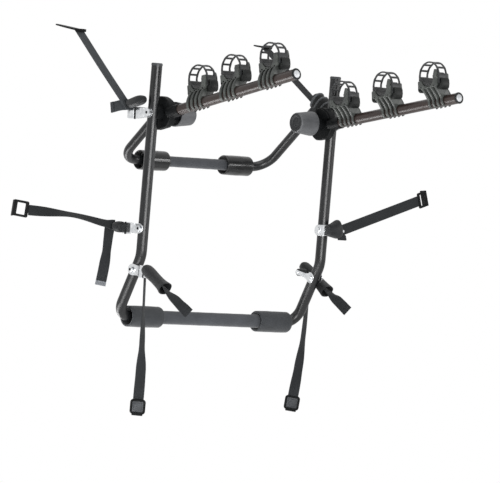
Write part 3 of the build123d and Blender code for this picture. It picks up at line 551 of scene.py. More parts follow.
def jawOutline(top, hubTop):  # the wall on the hub side may be lower
    plan = cradlePlan
    reach, foot, groove, axis = plan["reach"], plan["foot"], plan["groove"], plan["axis"]
    corner, heel, edge = plan["corner"], plan["heel"], plan["mouthEdge"]
    front = -degrees(asin(max(0, axis - top) / groove))
    rear = degrees(asin(max(0, axis - hubTop) / groove)) - 180
    outline = [(-reach, hubTop - corner), (-reach, foot + heel + 1)]
    outline += arc(-reach + heel, foot + heel, heel, 190, 270, 5)
    outline += arc(reach - heel, foot + heel, heel, 270, 350, 5)
    outline += [(reach, foot + heel + 1), (reach, top - corner)]
    outline += arc(reach - corner, top - corner, corner, 10, 90, 3)
    outline.append((groove * cos(radians(front)) + edge, top))
    if top > axis:
        outline.append((groove, top - 1.6))
    outline += arc(0, axis, groove, front, rear, 24)
    outline.append((groove * cos(radians(rear)) - edge, hubTop))
    outline += arc(-reach + corner, hubTop - corner, corner, 90, 170, 3)
    return outline


def ribShape():
    plan = cradlePlan
    bm = bmesh.new()
    for at in plan["ribs"]:
        slab(bm, ribOutline(), at - plan["ribHalf"], at + plan["ribHalf"], upright, 1.1)
    spine = [(-22, 12.2), (22, 12.2), (22, 17), (-22, 17)]
    slab(bm, spine, 2.5, 10.0, sideways, 0.8)
    for low in plan["ribs"][:-1]:  # a slanting brace leaves a three-cornered window between two ribs
        brace = [(low, 15), (low + 4, 15), (low + 14.5, 33), (low + 10.5, 33)]
        slab(bm, brace, 4.5, 8.5, sideways, 0.5)
    return bm


def plate(bm, outline, low, high, soft, segments=2):  # a part of the jaw, from low to high across the arm
    middle = cradlePlan["jawAt"]
    slab(bm, outline, middle + low, middle + high, sideways, soft, segments)


def wallShape():
    bm = bmesh.new()
    for low, high in cradlePlan["walls"]:
        plate(bm, jawOutline(cradlePlan["top"], cradlePlan["hubTop"]), low, high, 1.4)
    finger = [(21.6, 52), (32, 52), (32, 61), (30, 69), (27.6, 72), (25.4, 71), (22.4, 64)]
    plate(bm, finger, 13, 20.2, 1.2)
    return bm


def jawShape():
    bm = bmesh.new()
    for low, high, top in cradlePlan["cores"]:
        plate(bm, jawOutline(top, min(top, cradlePlan["hubTop"] - 2)), low, high, 1.2)
    for end in (1, -1):
        lug = [(end * 28, 24.5), (end * 35, 24), (end * 40, 28.5), (end * 40, 37.6), (end * 30, 37.6)]
        plate(bm, lug, -13, 13, 1.2)
        peg = [(end * 31, 43.4), (end * 37.4, 43.4), (end * 37.4, 48.6), (end * 31, 48.6)]
        plate(bm, peg, -7, 7, 1.0)
        head = [(end * 35.6, 42), (end * 38.2, 43), (end * 38.2, 49), (end * 35.6, 50)]
        plate(bm, head, -7.6, 7.6, 0.9)
    keeper = [(36, 28), (41, 30), (42.5, 36), (42.5, 45), (40.5, 50.5), (38.4, 50.5), (38.4, 40), (36, 38)]
    plate(bm, keeper, -12, 12, 1.1)
    for row in (-16.5, 16.5):  # thin ribs down the hub side of the jaw
        thinRib = [(-34.4, 30), (-31, 27), (-31, 47), (-33.4, 45)]
        plate(bm, thinRib, row - 1.6, row + 1.6, 0.5)
    return bm


cushionPlan = {
    "radius": 19.3, "half": 18.0, "wall": 1.7, "ripple": 0.35, "flare": 0.9, "flareFrom": 0.75,
    "rolls": ((-24.0, 53.5, 6.2, 19.0), (23.6, 61.0, 4.4, 12.0)),  # x, z, radius, half length
}


def cushionShape():
    plan, axis, middle = cushionPlan, cradlePlan["axis"], cradlePlan["jawAt"]
    bm = bmesh.new()
    verts = []
    for n in range(35):
        turn = radians(12 - 180 * n / 34)
        reach = plan["radius"] + plan["ripple"] * cos(n * 1.6)
        verts.append(bm.verts.new((reach * cos(turn), middle - plan["half"], axis + reach * sin(turn))))
    edges = [bm.edges.new(pair) for pair in zip(verts, verts[1:])]
    sweepEdges(bm, edges, [Matrix.Translation((0, 2 * plan["half"] * n / 10, 0)) for n in range(11)])
    bmesh.ops.recalc_face_normals(bm, faces=bm.faces)
    start = plan["flareFrom"]
    for vert in bm.verts:  # the ends flare out a little, as a moulded lining does
        share = abs(vert.co.y - middle) / plan["half"]
        spoke = Vector((vert.co.x, 0, vert.co.z - axis))
        vert.co += spoke.normalized() * plan["flare"] * max(0, share - start) / (1 - start)
    bmesh.ops.solidify(bm, geom=bm.faces[:], thickness=2 * plan["wall"])
    return bm


def cushionRolls():
    bm = bmesh.new()
    for x, z, radius, half in cushionPlan["rolls"]:
        plate(bm, arc(x, z, radius, 0, 345, 23), -half, half, radius * 0.35, 3)
    return bm


ladderPlan = {
    "half": 14.0, "rail": 4.6, "thick": 3.0, "radius": 33.8, "archAt": 59.7, "end": 37.6, "windows": 6,
    "windowShare": 0.74, "slot": (5.0, 12.0), "wave": 0.35, "round": 0.7,
}


def ladderShape():
    plan, middle = ladderPlan, cradlePlan["jawAt"]
    half, rail, radius, arch = plan["half"], plan["rail"], plan["radius"], plan["archAt"]
    leg = arch - plan["end"]
    around = pi * radius
    total = 2 * leg + around
    pitch = around / plan["windows"]
    near, far = plan["slot"]
    openings = [(near, far), (total - far, total - near)]
    cuts = [0.0, near, far, leg - 3]
    for n in range(plan["windows"]):
        mid, reach = leg + pitch * (n + 0.5), pitch * plan["windowShare"] / 2
        openings.append((mid - reach, mid + reach))
        cuts += [mid - reach + reach * k / 2 for k in range(5)]
    cuts += [total - leg + 3, total - far, total - near, total]

    def station(s):  # up one side, over the arch and down the other
        if s <= leg:
            return Matrix.Translation((-radius, 0, plan["end"] + s))
        if s >= total - leg:
            return Matrix.Translation((radius, 0, arch - (s - total + leg))) @ Matrix.Rotation(pi, 4, "Y")
        turn = (s - leg) / radius
        spot = Matrix.Translation((-radius * cos(turn), 0, arch + radius * sin(turn)))
        return spot @ Matrix.Rotation(turn, 4, "Y")

    bm = bmesh.new()
    layer = bm.verts.layers.float.new("along")
    stations = [station(s) for s in cuts]
    row = (-half, -half + rail, -half + rail + 3, 0, half - rail - 3, half - rail, half)
    verts = [bm.verts.new(stations[0] @ Vector((0, middle + y, 0))) for y in row]
    edges = [bm.edges.new(pair) for pair in zip(verts, verts[1:])]
    doomed = []
    for number in range(1, len(cuts)):
        before = set(bm.faces)
        grown = bmesh.ops.extrude_edge_only(bm, edges=edges)["geom"]
        fresh = [g for g in grown if isinstance(g, bmesh.types.BMVert)]
        bmesh.ops.transform(bm, matrix=stations[number] @ stations[number - 1].inverted(), verts=fresh)
        edges = [g for g in grown if isinstance(g, bmesh.types.BMEdge) and all(v in fresh for v in g.verts)]
        mid = (cuts[number] + cuts[number - 1]) / 2
        if any(low < mid < high for low, high in openings):
            doomed += [f for f in set(bm.faces) - before
                       if abs(f.calc_center_median().y - middle) < half - rail]
        for vert in fresh:
            vert[layer] = cuts[number]
    bmesh.ops.delete(bm, geom=doomed, context="FACES")
    bmesh.ops.recalc_face_normals(bm, faces=bm.faces)
    for vert in bm.verts:  # the rails' outer edges wave a little
        wave = plan["wave"] * cos(2 * pi * (vert[layer] - leg) / pitch)
        if vert.co.y > middle + half - 1:
            vert.co.y += wave
        elif vert.co.y < middle - half + 1:
            vert.co.y -= wave
    bmesh.ops.solidify(bm, geom=bm.faces[:], thickness=plan["thick"])
    soften(bm, folded(bm.edges, 50), plan["round"])
    return bm


def makeCradles():
    for side, stations in cradlePlan["stations"].items():
        for name, station in zip(cradlePlan["places"], stations):
            place = armPlace(side, station, inward=True)
            body = f"{side}_{name}_cradle"
            # jaw in the darker tone, painted shade; walls and ribs in the lighter tone, painted highlight
            settle(jawShape(), f"{body}_jaw", place, "cradle", body, [body], sharp=30)
            settle(wallShape(), f"{body}_walls", place, "cradlePaintedHighlight", body, sharp=30)
            settle(ribShape(), f"{body}_ribs", place, "cradlePaintedHighlight", body, [body], sharp=30)
            lining = settle(cushionShape(), f"{body}_lining", place, "cushion", body,
                            [f"{body}_cushion"], sharp=60, levels=1)
            rolls = settle(cushionRolls(), f"{body}_rolls", place, "cushion", body, sharp=60)
            settle(ladderShape(), f"{side}_{name}_ladder", place, "ladder", body,
                   [f"{side}_{name}_ladder_strap"], sharp=45)


makeCradles()
print("cradles made")


# Straps: webbing, boots, brackets, rivets and hooks
strapPlan = {  # runs go from boot to hook, a spread is where the width points, and boots are rows for loft
    "top_left": {
        "side": "left", "pin": (-79.4, 489.2), "pivot": (-131.0, 467.0), "turn": 170.0,
        "webbing": "webbingGrey",
        "run": [(-81.0, 477.5), (11.5, 573.6), (105.4, 674.8)],
        "runSpread": [(1, 0, 0)] * 3,
        "tail": [(-80.0, 488.0), (-48.0, 488.5), (-12.3, 485.0)],
        "tailSpread": [(0, 0, 1), (0.1, 0, 1), (0, 0, 1)],
        "boot": [(-5, -1, 14, 6, 6), (-3.5, -1, 14, 9, 9), (3, -0.5, 14, 10.6, 11.4),
                 (14, 0, 14.6, 11, 12.4), (28, 0, 15, 11.6, 13), (38, 0.4, 15, 11.8, 13),
                 (47, 0.6, 15, 10.4, 11.6), (54, 0.8, 15, 7.4, 8.6), (57, 0.8, 15, 4, 4.6)],
    },
    "top_right": {
        "side": "right", "pin": (-83.0, 499.0), "turn": 42.0, "webbing": "webbing",
        "run": [(-87.7, 492.0), (26.5, 582.0), (140.3, 673.0)],
        "runSpread": [(1, 0, 0)] * 3,
        "tail": [(-65.4, 512.1), (-46.0, 497.0), (-25.4, 478.1)],
        "tailSpread": [(1, 0, 0)] * 3,
        "finish": "bootDark", "rims": [(12, 25.8, 17.8), (32, 25.2, 17.4), (50, 22.4, 15.6)],
        "boot": [(-12, 0, 16, 14, 11), (-10, 0, 16, 20, 14), (-2, 0, 16, 23.6, 16), (12, 0, 16, 24.6, 16.6),
                 (14, 0, 16, 21.4, 14), (17, 0, 16, 21.4, 14), (20, 0, 16, 23, 15.6), (32, 0, 16, 23.8, 16),
                 (34, 0, 16, 20.4, 13.4), (37, 0, 16, 20.4, 13.4), (40, 0, 16, 21.4, 14.6),
                 (50, 0, 16, 20.8, 14), (58, 0, 16, 16.4, 11.4), (63, 0, 16, 11, 8), (65, 0, 16, 6, 5)],
    },
    "side_left": {
        "side": "left", "pin": (-46.9, 204.2), "pivot": (-96.7, 199.0), "turn": 6.0, "webbing": "webbing",
        "run": [(-26.0, 209.5), (-330.0, -14.0, 214.5), (-400.0, 18.0, 232.5), (-496.1, 59.0, 240.9)],
        "runSpread": [(0, 0.2, 1), (0.3, 0.62, 0.72), (0.36, 0.77, 0.5), (0.1, 0.2, 1)],
        "tail": [(-14.0, 215.0), (-7.0, 204.0), (-1.0, 178.0), (4.0, 152.0), (14.0, 112.0), (27.0, 71.0)],
        "tailSpread": [(1, -0.3, 0), (1, -0.3, 0), (1, -0.1, 0), (1, 0, 0), (0.85, -0.5, 0),
                       (0.75, -0.66, 0)],
        "hem": "hem",
        "boot": [(-9, 0, 15, 9, 9), (-7.5, 0, 15, 12, 12.6), (-2, 0, 15, 13.2, 14), (6, 0, 15, 13.2, 14),
                 (12, 0, 15, 12.2, 13.4), (17, 0, 15, 11, 12), (20, 0, 15, 8, 9), (21, 0, 15, 4, 5)],
    },
    "side_right": {
        "side": "right", "pivot": (-99.0, 217.0), "webbing": "webbing",
        "run": [(-128.9, 214.9), (455.0, -104.0, 258.0), (606.1, -78.9, 301.9)],
        "runSpread": [(0, 0, 1)] * 3,
        "tail": [(-128.0, 214.0), (-134.0, 205.0), (-137.0, 193.0)],
        "tailSpread": [(1, 0, 0)] * 3,
        "bootAt": (285.0, -132.0, 215.0),  # this boot lies across the front of the leg
        "boot": [(-20, 0, 0, 10, 11), (-18.5, 0, 0, 12.5, 14), (-10, 0, 0.5, 14, 16), (-2, 0, 2, 15, 19),
                 (6, 0, 3.5, 15, 22.5), (11, 0, 4.4, 14.6, 23), (15, 0, 2, 13.4, 18.5), (19, 0, -2, 11, 12),
                 (21, 0, -3, 7, 7)],
    },
    "bottom_left": {
        "side": "left", "pin": (-142.0, 100.0), "pivot": (-68.9, 105.0), "turn": 217.0, "webbing": "webbing",
        "run": [(-137.1, 81.5), (-133.0, 20.0), (-127.0, -70.0), (-121.0, -138.0), (-112.0, -201.0)],
        "runSpread": [(0.76, 0.65, 0), (0.76, 0.65, 0), (0.92, 0.38, 0), (0.95, -0.3, 0), (0.75, -0.66, 0)],
        "tail": [(-178.0, 76.0), (-206.0, 57.0), (-250.0, 24.0), (-292.0, -6.0)],
        "tailSpread": [(-0.8, -0.55, 0.1), (-0.8, -0.5, 0.1), (-0.8, 0.1, -0.4), (-0.445, 0.448, -0.775)],
        "boot": [(-8, -1, 15, 7, 8), (-6, -1, 15, 10.4, 12), (2, -1, 15, 13, 14.6), (18, -1, 15, 13.4, 15),
                 (32, -2, 15, 12, 14.2), (50, -2, 15, 12, 14), (68, -3, 15, 13, 15),
                 (77, -3, 15, 15.4, 16.8), (82, -3, 15, 16, 17.4), (82, -3, 15, 13.8, 15.2),
                 (75, -3, 15, 12.4, 13.6), (56, -3, 15, 10.4, 12)],
    },
    "bottom_right": {
        "side": "right", "pin": (-21.4, 120.5), "pivot": (-68.9, 105.0), "turn": 218.0, "webbing": "webbing",
        "run": [(-21.4, 120.5), (-11.0, 60.0), (4.0, -30.0), (21.0, -104.0), (40.6, -175.5)],
        "runSpread": [(0.84, 0.54, 0), (0.84, 0.54, 0), (0.9, 0.42, 0), (1, -0.1, 0), (0.75, -0.66, 0)],
        "tail": [(-68.0, 86.0), (-92.0, 68.0), (-124.0, 46.0), (-157.0, 22.6)],
        "tailSpread": [(-0.8, -0.55, 0.1), (-0.85, -0.3, -0.1), (-0.7, 0.3, -0.55),
                       (-0.445, 0.448, -0.775)],
        "boot": [(-33, 0, 15, 7, 8), (-31, 0, 15, 10.4, 12), (-22, 0, 15, 12.2, 14.6),
                 (-4, 0, 15, 12.8, 15), (14, 0, 15, 12, 14.2), (36, 0, 15, 12, 14), (60, 0, 15, 13.2, 15),
                 (74, 0, 15, 15, 16.4), (79, 0, 15, 15.6, 17), (79, 0, 15, 13.6, 15),
                 (72, 0, 15, 12.4, 13.6), (52, 0, 15, 10.6, 12)],
    },
}
for plan in strapPlan.values():  # a point of (y, z) lies in the plane in which the webbing hangs
    x = rack["side"][plan["side"]] * rack["webbingX"]
    for strand in ("run", "tail"):
        plan[strand] = [(x, *point) if len(point) == 2 else point for point in plan[strand]]
webbingPlan = {"half": 12.5, "thick": 1.8, "step": 5.0, "hem": 14.0, "fold": 1.9, "edgeDip": 0.12}


def smoothPath(points, spreads, step):  # an even walk along a soft curve through the points
    points = [Vector(p) for p in points]
    spreads = [Vector(s).normalized() for s in spreads]
    walk = []
    for n in range(len(points) - 1):
        a, b = points[n], points[n + 1]
        before = points[n - 1] if n else a * 2 - b
        after = points[n + 2] if n + 2 < len(points) else b * 2 - a
        count = max(2, int((b - a).length / step))
        for k in range(count + (n == len(points) - 2)):
            t = k / count
            spot = (a * 2 + (b - before) * t + (before * 2 - a * 5 + b * 4 - after) * t ** 2
                    + (a * 3 - before - b * 3 + after) * t ** 3) / 2
            ease = t * t * (3 - 2 * t)
            walk.append((spot, spreads[n].lerp(spreads[n + 1], ease).normalized()))
    return walk


def ribbon(walk, thick):
    bm = bmesh.new()
    stations = []
    for n, (spot, wide) in enumerate(walk):
        way = (walk[min(n + 1, len(walk) - 1)][0] - walk[max(n - 1, 0)][0]).normalized()
        y = (wide - way * wide.dot(way)).normalized()
        z = way.cross(y)
        station = Matrix((way, y, z)).transposed().to_4x4()
        station.translation = spot
        stations.append(station)
    across = bm.verts.layers.float.new("across")
    half, edgeDip = webbingPlan["half"], webbingPlan["edgeDip"]
    row = [(half * n / 3, 0.0 if abs(n) < 3 else -edgeDip) for n in range(-3, 4)]
    verts = []
    for y, dip in row:
        vert = bm.verts.new(stations[0] @ Vector((0, y, dip)))
        vert[across] = y
        verts.append(vert)
    edges = [bm.edges.new(pair) for pair in zip(verts, verts[1:])]
    sweepEdges(bm, edges, stations)
    bmesh.ops.recalc_face_normals(bm, faces=bm.faces)
    along = bm.verts.layers.float.get("along")
    weave = bm.loops.layers.uv.new("weave")
    bmesh.ops.solidify(bm, geom=bm.faces[:], thickness=thick)
    for face in bm.faces:
        for loop in face.loops:
            loop[weave].uv = (loop.vert[along] / 1000, loop.vert[across] / 1000)
    return bm


def makeWebbing(name, plan):
    finish, thick, step = plan["webbing"], webbingPlan["thick"], webbingPlan["step"]
    run = smoothPath(plan["run"], plan["runSpread"], step)
    tail = smoothPath(plan["tail"], plan["tailSpread"], step)
    hem = []
    for spot, wide in reversed(tail):  # the end is folded back on itself and sewn
        if (spot - tail[-1][0]).length <= webbingPlan["hem"]:
            over = (tail[-1][0] - tail[-2][0]).cross(wide).normalized()
            if over.dot(back) < 0:
                over = -over
            hem.append((spot + over * webbingPlan["fold"], wide))
    parts = (("run", run, finish, [f"{name}_strap_webbing"]), ("tail", tail, finish, ()),
             ("hem", hem, plan.get("hem", finish), ()))
    for part, walk, look, nodes in parts:
        settle(ribbon(walk, thick), f"{name}_webbing_{part}", Matrix.Scale(0.001, 4), look, f"{name}_strap",
               nodes, sharp=50)


def strapFrame(plan, angle, at):  # x runs along the strap, z outboard from its bracket
    turn, sign = radians(angle), rack["side"][plan["side"]]
    place = Matrix(((0, 0, sign), (cos(turn), -sin(turn), 0), (sin(turn), cos(turn), 0))).to_4x4()
    place.translation = Vector((sign * rack["bracketX"], *at)) / 1000
    return place @ Matrix.Scale(0.001, 4)


rimPlan = {"z": 16, "lips": [(-3.6, -2.4), (-3.0, -0.6), (-1.2, 0.2), (1.4, 0.2), (2.8, -0.7), (3.2, -2.4)]}


def makeBoot(name, plan):
    if "bootAt" in plan:
        place = stand(plan["bootAt"], (1, 0, 0), (0, 0, 1))
    else:
        place = strapFrame(plan, plan["turn"], plan["pin"])
    settle(loft(plan["boot"]), f"{name}_boot", place, plan.get("finish", "boot"), f"{name}_strap",
           [f"{name}_strap_boot"], sharp=50, levels=1)
    for number, (at, tall, deep) in enumerate(plan.get("rims", ())):
        rim = loft([(at + along, 0, rimPlan["z"], tall + out, deep + out) for along, out in rimPlan["lips"]])
        settle(rim, f"{name}_boot_rim_{number}", place, "bootRim", f"{name}_strap",
               sharp=50, levels=1)


for name, plan in strapPlan.items():
    makeWebbing(name, plan)
    makeBoot(name, plan)
print("straps made")


# Rounded copies of the rigid CAD pieces whose edges show
copyPlan = {"merge": 0.00001, "flat": 1.5, "crease": 40}  # metres, then degrees


def softCopy(node, name, finish, body, width):
    bm = bmesh.new()
    bm.from_mesh(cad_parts[node].data)
    bmesh.ops.remove_doubles(bm, verts=bm.verts, dist=copyPlan["merge"])
    bmesh.ops.dissolve_limit(bm, angle_limit=radians(copyPlan["flat"]), use_dissolve_boundaries=False,
                             verts=bm.verts, edges=bm.edges, delimit={"NORMAL"})
    soften(bm, folded(bm.edges, copyPlan["crease"]), width / 1000)
    settle(bm, name, Matrix.Identity(4), finish, body, [node], sharp=35)


# Pressed brackets on the left: rows of (along, outward, half width) from the round pivot end
pivotEnd = [(-11.6, 0.0, 2.4), (-10.8, 0.0, 4.8), (-8.6, 0.0, 8.0), (-5.2, 0.0, 10.4), (0.0, 0.0, 11.6)]
joggle = [(10.0, 0.0, 11.6), (16.5, 0.0, 11.8), (18.5, 0.8, 12.2), (22.5, 4.8, 13.0), (25.0, 6.0, 13.4),
          (39.0, 6.0, 13.6), (41.4, 5.2, 13.5), (42.8, 2.6, 13.3), (46.2, 2.6, 13.3), (47.6, 5.2, 13.1),
          (50.0, 6.0, 12.9)]
bracketPlan = {  # the pin lies in the groove, outward of the sheet
    "top_left": {"angle": 2.0, "groove": 44.5, "outward": 4.4, "rows": pivotEnd + joggle + [
        (63.0, 5.8, 12.4), (70.0, 4.2, 11.2), (77.0, 0.6, 9.0), (81.0, -4.0, 6.0)]},
    "side_left": {"angle": 4.0, "groove": 44.5, "outward": 4.4, "rows": pivotEnd + joggle + [
        (54.0, 5.8, 12.4), (56.0, 4.0, 11.6)]},
    "bottom_left": {"angle": 190.0, "groove": 48.0, "outward": 3.0, "rows": [
        (-12.4, 0.0, 2.6), (-11.2, 0.0, 6.0), (-8.0, 0.0, 9.8), (-3.0, 0.0, 12.6), (4.0, 0.0, 13.6),
        (12.0, 0.0, 12.6), (20.0, 0.4, 11.6), (27.0, 1.6, 12.2), (33.0, 3.8, 13.8), (36.0, 4.6, 14.4),
        (44.0, 4.6, 14.4), (45.6, 3.8, 14.3), (46.8, 1.4, 14.2), (49.2, 1.4, 14.2), (50.4, 3.8, 14.0),
        (56.0, 4.2, 13.2)]},
}
metalPlan = {"sheet": 2.0, "edge": 0.5, "pinHalf": 14.4, "pinRadius": 2.2}


def makeBracket(name, plan):
    body = f"{name}_strap"
    place = strapFrame(strapPlan[name], plan["angle"], strapPlan[name]["pivot"])
    stations = [Matrix.Translation((along, 0, out)) @ Matrix.Diagonal((1, half, 1, 1))
                for along, out, half in plan["rows"]]
    bm = bmesh.new()
    verts = [bm.verts.new(stations[0] @ Vector((0, n / 4, 0))) for n in range(-4, 5)]
    sweepEdges(bm, [bm.edges.new(pair) for pair in zip(verts, verts[1:])], stations)
    bmesh.ops.recalc_face_normals(bm, faces=bm.faces)
    bmesh.ops.solidify(bm, geom=bm.faces[:], thickness=metalPlan["sheet"])
    soften(bm, folded(bm.edges, 60), metalPlan["edge"])
    settle(bm, f"{name}_bracket_plate", place, "zinc", body, [f"{name}_strap_bracket"], sharp=24)
    # the pin is real, but its near-black tone is painted shade of the gap in the groove
    pin = rod(-metalPlan["pinHalf"], metalPlan["pinHalf"], metalPlan["pinRadius"], 20)
    turn = Matrix.Translation((plan["groove"], 0, plan["outward"])) @ Matrix.Rotation(pi / 2, 4, "Z")
    settle(pin, f"{name}_bracket_pin", place @ turn, "hub", body)


bailPlan = {  # the bar is a start, an end and a radius
    "angle": 18.0, "reach": 48.0, "eye": 12.4, "neck": 20.0, "half": 5.2, "inner": -28.2,
    "bar": (-4.4, 30.8, 3.8),
    "roll": [(0.6, 4.0), (0.6, 7.4), (1.8, 8.6), (13, 9.2), (24.2, 8.6), (25.4, 7.4), (25.4, 4.0)],
}


def makeBail(name, plan):  # two narrow cheeks either side of the leg, joined by a bar in a rubber roll
    body, reach, neck, half = f"{name}_strap", plan["reach"], plan["neck"], plan["half"]
    place = strapFrame(strapPlan[name], plan["angle"], strapPlan[name]["pivot"])
    bm = bmesh.new()
    cheek = arc(0, 0, plan["eye"], 40, 320, 20) + [(neck, -half), (reach, -half)]
    cheek += arc(reach, 0, half, -90, 90, 8)[1:-1] + [(reach, half), (neck, half)]
    for low in (plan["inner"], 0.0):
        slab(bm, cheek, low, low + metalPlan["sheet"], None, metalPlan["edge"])
    settle(bm, f"{name}_bail_cheeks", place, "zinc", body, [f"{name}_strap_bracket"], sharp=35)
    across = place @ Matrix.Translation((reach, 0, 0)) @ Matrix.Rotation(pi / 2, 4, "Y")  # x then runs in
    settle(rod(*plan["bar"], 24), f"{name}_bail_bar", across, "zinc", body)
    settle(lathe(plan["roll"], 32), f"{name}_bail_roll", across, "boot", body)


socketPlan = {
    "reach": 12.0,
    "outline": [(-0.6, 0), (-0.6, 3.6), (0.25, 3.6), (0.4, 3.2), (0.4, 2.6), (0.1, 2.2), (0.1, 0)],
}


def makeSocketShade(name, sign, y, z):  # a near-black disc on a bolt or rivet head: painted shade for the recess of its socket
    mesh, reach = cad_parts["bolts_and_rivets"].data, socketPlan["reach"]
    near = [abs(v.co.x) for v in mesh.vertices
            if v.co.x * sign > 0 and (v.co.y * 1000 - y) ** 2 + (v.co.z * 1000 - z) ** 2 < reach ** 2]
    place = stand((sign * max(near) * 1000, y, z), (sign, 0, 0), (0, 0, 1))
    settle(lathe(socketPlan["outline"], 6), name, place, "hub", "main_frame", sharp=20)


# Hooks: flat tongues at the top, and buckle frames at the bottom
def roundedBox(halfLong, halfWide, radius, steps):
    outline = []
    for sx, sy, start in ((1, 1, 0), (-1, 1, 90), (-1, -1, 180), (1, -1, 270)):
        outline += arc(sx * (halfLong - radius), sy * (halfWide - radius), radius, start, start + 90, steps)
    return outline


bucklePlan = {
    "along": 15.0, "halfLong": 14.8, "halfWide": 15.4, "round": 4.6, "wall": (2.7, 3.2), "inset": 0.6,
    "boss": (8.6, 9.6, 2.2), "bossOut": 2.4, "lipAt": 16.4, "lipTurn": 28,
}


def makeBuckleHook(name, plan):
    body, end = f"{name}_strap", Vector(plan["run"][-1])
    way = (end - Vector(plan["run"][-2])).normalized()
    wide = Vector(plan["runSpread"][-1])
    wide = (wide - way * wide.dot(way)).normalized()
    place = stand(end + way * bucklePlan["along"], way, way.cross(wide))
    facing = 1 if (place.to_3x3() @ Vector((0, 0, 1))).dot(back) > 0 else -1
    halfLong, halfWide, corner = bucklePlan["halfLong"], bucklePlan["halfWide"], bucklePlan["round"]
    path = roundedBox(halfLong, halfWide, corner, 5)
    bm = bmesh.new()
    stations = []
    for n, (x, y) in enumerate(path + path[:1]):
        ahead, behind = path[(n + 1) % len(path)], path[(n - 1) % len(path)]
        course = Vector((ahead[0] - behind[0], ahead[1] - behind[1]))
        turn = Matrix.Rotation(course.angle_signed(Vector((1, 0))), 4, "Z")
        stations.append(Matrix.Translation((x, y, 0)) @ turn @ Matrix.Diagonal((1, *bucklePlan["wall"], 1)))
    sweepEdges(bm, ovalRing(bm, stations[0], 12, 3.0), stations)
    settle(bm, f"{name}_hook_frame", place, "hook", body, [f"{name}_strap_hook"], sharp=50)
    panel = bmesh.new()
    inset, out = bucklePlan["inset"], facing * bucklePlan["bossOut"]
    slab(panel, roundedBox(halfLong - inset, halfWide - inset, corner - 0.4, 4), -1.4, 1.4, None, 0.5)
    slab(panel, roundedBox(*bucklePlan["boss"], 3), min(0, out), max(0, out), None, 0.8)
    settle(panel, f"{name}_hook_panel", place, "hookPanel", body, sharp=40)
    lip = bmesh.new()
    for n in range(4):  # the lower edge curls back under the panel
        curl = Matrix.Rotation(radians(bucklePlan["lipTurn"] * n * facing), 4, "Y")
        slab(lip, [(-1, -13), (4.4, -12.6), (4.4, 12.6), (-1, 13)], -1.5, 1.5,
             Matrix.Translation((bucklePlan["lipAt"], 0, 0)) @ curl, 0.6)
    settle(lip, f"{name}_hook_lip", place, "hook", body, sharp=40)


tonguePlan = {  # y and z at the root, then at the tip
    "top_left": (105.2, 675.4, 189.4, 694.5), "top_right": (140.3, 673.4, 181.0, 681.0),
}


def makeTongue(name, plan):
    y, z, tipY, tipZ = plan
    way = Vector((0, tipY - y, tipZ - z))
    length = way.length
    half = [(-8, 14), (length * 0.45, 12.6), (length - 6, 6.4), (length - 1.6, 4.6), (length, 2)]
    outline = [(x, -across) for x, across in half] + half[::-1]
    bm = bmesh.new()
    slab(bm, outline, -1.6, 1.6, None, 0.8)
    slab(bm, [(-9, -14.4), (-1, -14.4), (-1, 14.4), (-9, 14.4)], -3.4, 3.4, None, 1.2)
    place = stand((strapPlan[name]["run"][-1][0], y, z), way, way.cross(Vector((1, 0, 0))))
    settle(bm, f"{name}_hook_tongue", place, "hook", f"{name}_strap", [f"{name}_strap_hook"],
           sharp=35)


for name, plan in strapPlan.items():
    body = f"{name}_strap"
    if name in tonguePlan:
        makeTongue(name, tonguePlan[name])
    elif name.startswith("bottom"):
        makeBuckleHook(name, plan)
    else:
        softCopy(f"{body}_hook", f"{name}_hook_frame", "hook", body, 1.2)
    if name in bracketPlan:
        makeBracket(name, bracketPlan[name])
    elif name == "bottom_right":
        makeBail(name, bailPlan)
    else:
        softCopy(f"{body}_bracket", f"{name}_bracket_plate", "zinc", body, metalPlan["edge"])
for side, sign in rack["side"].items():
    makeSocketShade(f"{side}_bolt_socket_shade", sign, rack["hubY"], rack["hubZ"])
for name in ("side_left", "side_right", "bottom_left", "bottom_right"):
    plan = strapPlan[name]
    makeSocketShade(f"{name}_rivet_socket_shade", rack["side"][plan["side"]], *plan["pivot"])
print("brackets and hooks made")


# Better finishes on the CAD pieces that stay
cadFinish = {
    "lower_frame_tube": "frameBlack", "upper_frame_tube": "frameBlack", "hub_saddles": "hub",
    "upper_frame_eyes": "frameBlack", "leg_end_caps": "cap", "bolts_and_rivets": "zinc",
    "left_arm_tube": "armBlack", "right_arm_tube": "armBlack", "left_arm_hub": "hub", "right_arm_hub": "hub",
    "left_knob": "knob", "right_knob": "knob",
}
for node, finish in cadFinish.items():
    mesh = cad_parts[node].data
    if not mesh.materials:
        mesh.materials.append(finishes[finish])
    for number in range(len(mesh.materials)):
        mesh.materials[number] = finishes[finish]
print("cad finishes set")


# Floor, world and lamps
stagePlan = {"floorHalf": 7.0, "floorAt": -1.3, "glow": 0.28, "ambient": 0.42, "aimAbove": 0.15}


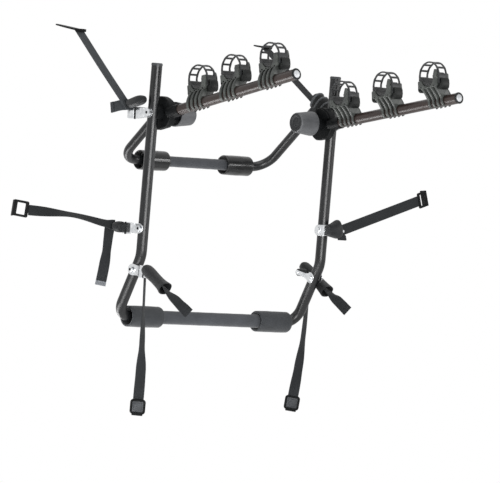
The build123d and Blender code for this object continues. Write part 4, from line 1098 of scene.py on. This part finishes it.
def makeFloor(plan):
    finish = Finish("floorPale", {
        "Roughness": 0.9, "Specular IOR Level": 0.1, "Emission Strength": plan["glow"]})
    speck = finish.cloud(finish.place(), 9, 3.0)
    finish.give("Base Color", finish.mixed(speck, tone("eeeeee"), tone("f4f4f4")))
    bm = bmesh.new()
    bmesh.ops.create_grid(bm, x_segments=2, y_segments=2, size=plan["floorHalf"])
    mesh = bpy.data.meshes.new("floor")
    bm.to_mesh(mesh)
    bm.free()
    mesh.materials.append(finish.material)
    floor = bpy.data.objects.new("floor", mesh)
    floor.location = (0, 0, plan["floorAt"])
    scene.collection.objects.link(floor)


def makeWorld(ambient):
    world = bpy.data.worlds.new("studio")
    world.use_nodes = True
    scene.world = world
    sky = Finish("studio", tree=world.node_tree)
    paths = [sky.node("ShaderNodeLightPath", output=ray)
             for ray in ("Is Camera Ray", "Is Glossy Ray", "Is Transmission Ray")]
    seen = sky.node("ShaderNodeMath", {"operation": "ADD", "use_clamp": True},
                    {0: paths[0] + paths[1], 1: paths[2]})
    background = next(n for n in world.node_tree.nodes if n.type == "BACKGROUND")
    background.inputs["Color"].default_value = (1, 1, 1, 1)
    sky.tree.links.new((ambient + seen * (1 - ambient)).socket, background.inputs["Strength"])


lampPlan = {  # degrees round the rack and up, then metres: distance, width and height
    "key": {"azimuth": -25.0, "elevation": -8.0, "distance": 2.6, "size": (1.6, 0.5), "radiance": 25.0},
    "side": {"azimuth": 41.0, "elevation": 3.0, "distance": 3.4, "size": (1.5, 0.35), "radiance": 20.0},
    "left": {"azimuth": -100.0, "elevation": 18.0, "distance": 3.2, "size": (1.0, 1.4), "radiance": 2.5},
    "top": {"azimuth": -30.0, "elevation": 78.0, "distance": 3.0, "size": (3.0, 3.0), "radiance": 2.0},
    "lowLeft": {"azimuth": -90.0, "elevation": -40.0, "distance": 1.4, "size": (2.0, 0.34), "radiance": 9.5},
    "lowFar": {"azimuth": -155.0, "elevation": -38.0, "distance": 1.4, "size": (1.2, 0.34), "radiance": 9.0},
}


def makeLamp(name, plan):
    middle = target + up * stagePlan["aimAbove"]
    data = bpy.data.lights.new(name, "AREA")
    data.shape = "RECTANGLE"
    data.size, data.size_y = plan["size"]
    data.energy = plan["radiance"] * pi * data.size * data.size_y
    lamp = bpy.data.objects.new(name, data)
    lamp.visible_camera = False
    spot = middle + outward(plan) * plan["distance"]
    aim(lamp, spot, middle - spot)


makeFloor(stagePlan)
makeWorld(stagePlan["ambient"])
for name, plan in lampPlan.items():
    makeLamp(name, plan)
scene.view_settings.view_transform = "Standard"
print("stage and lamps made")
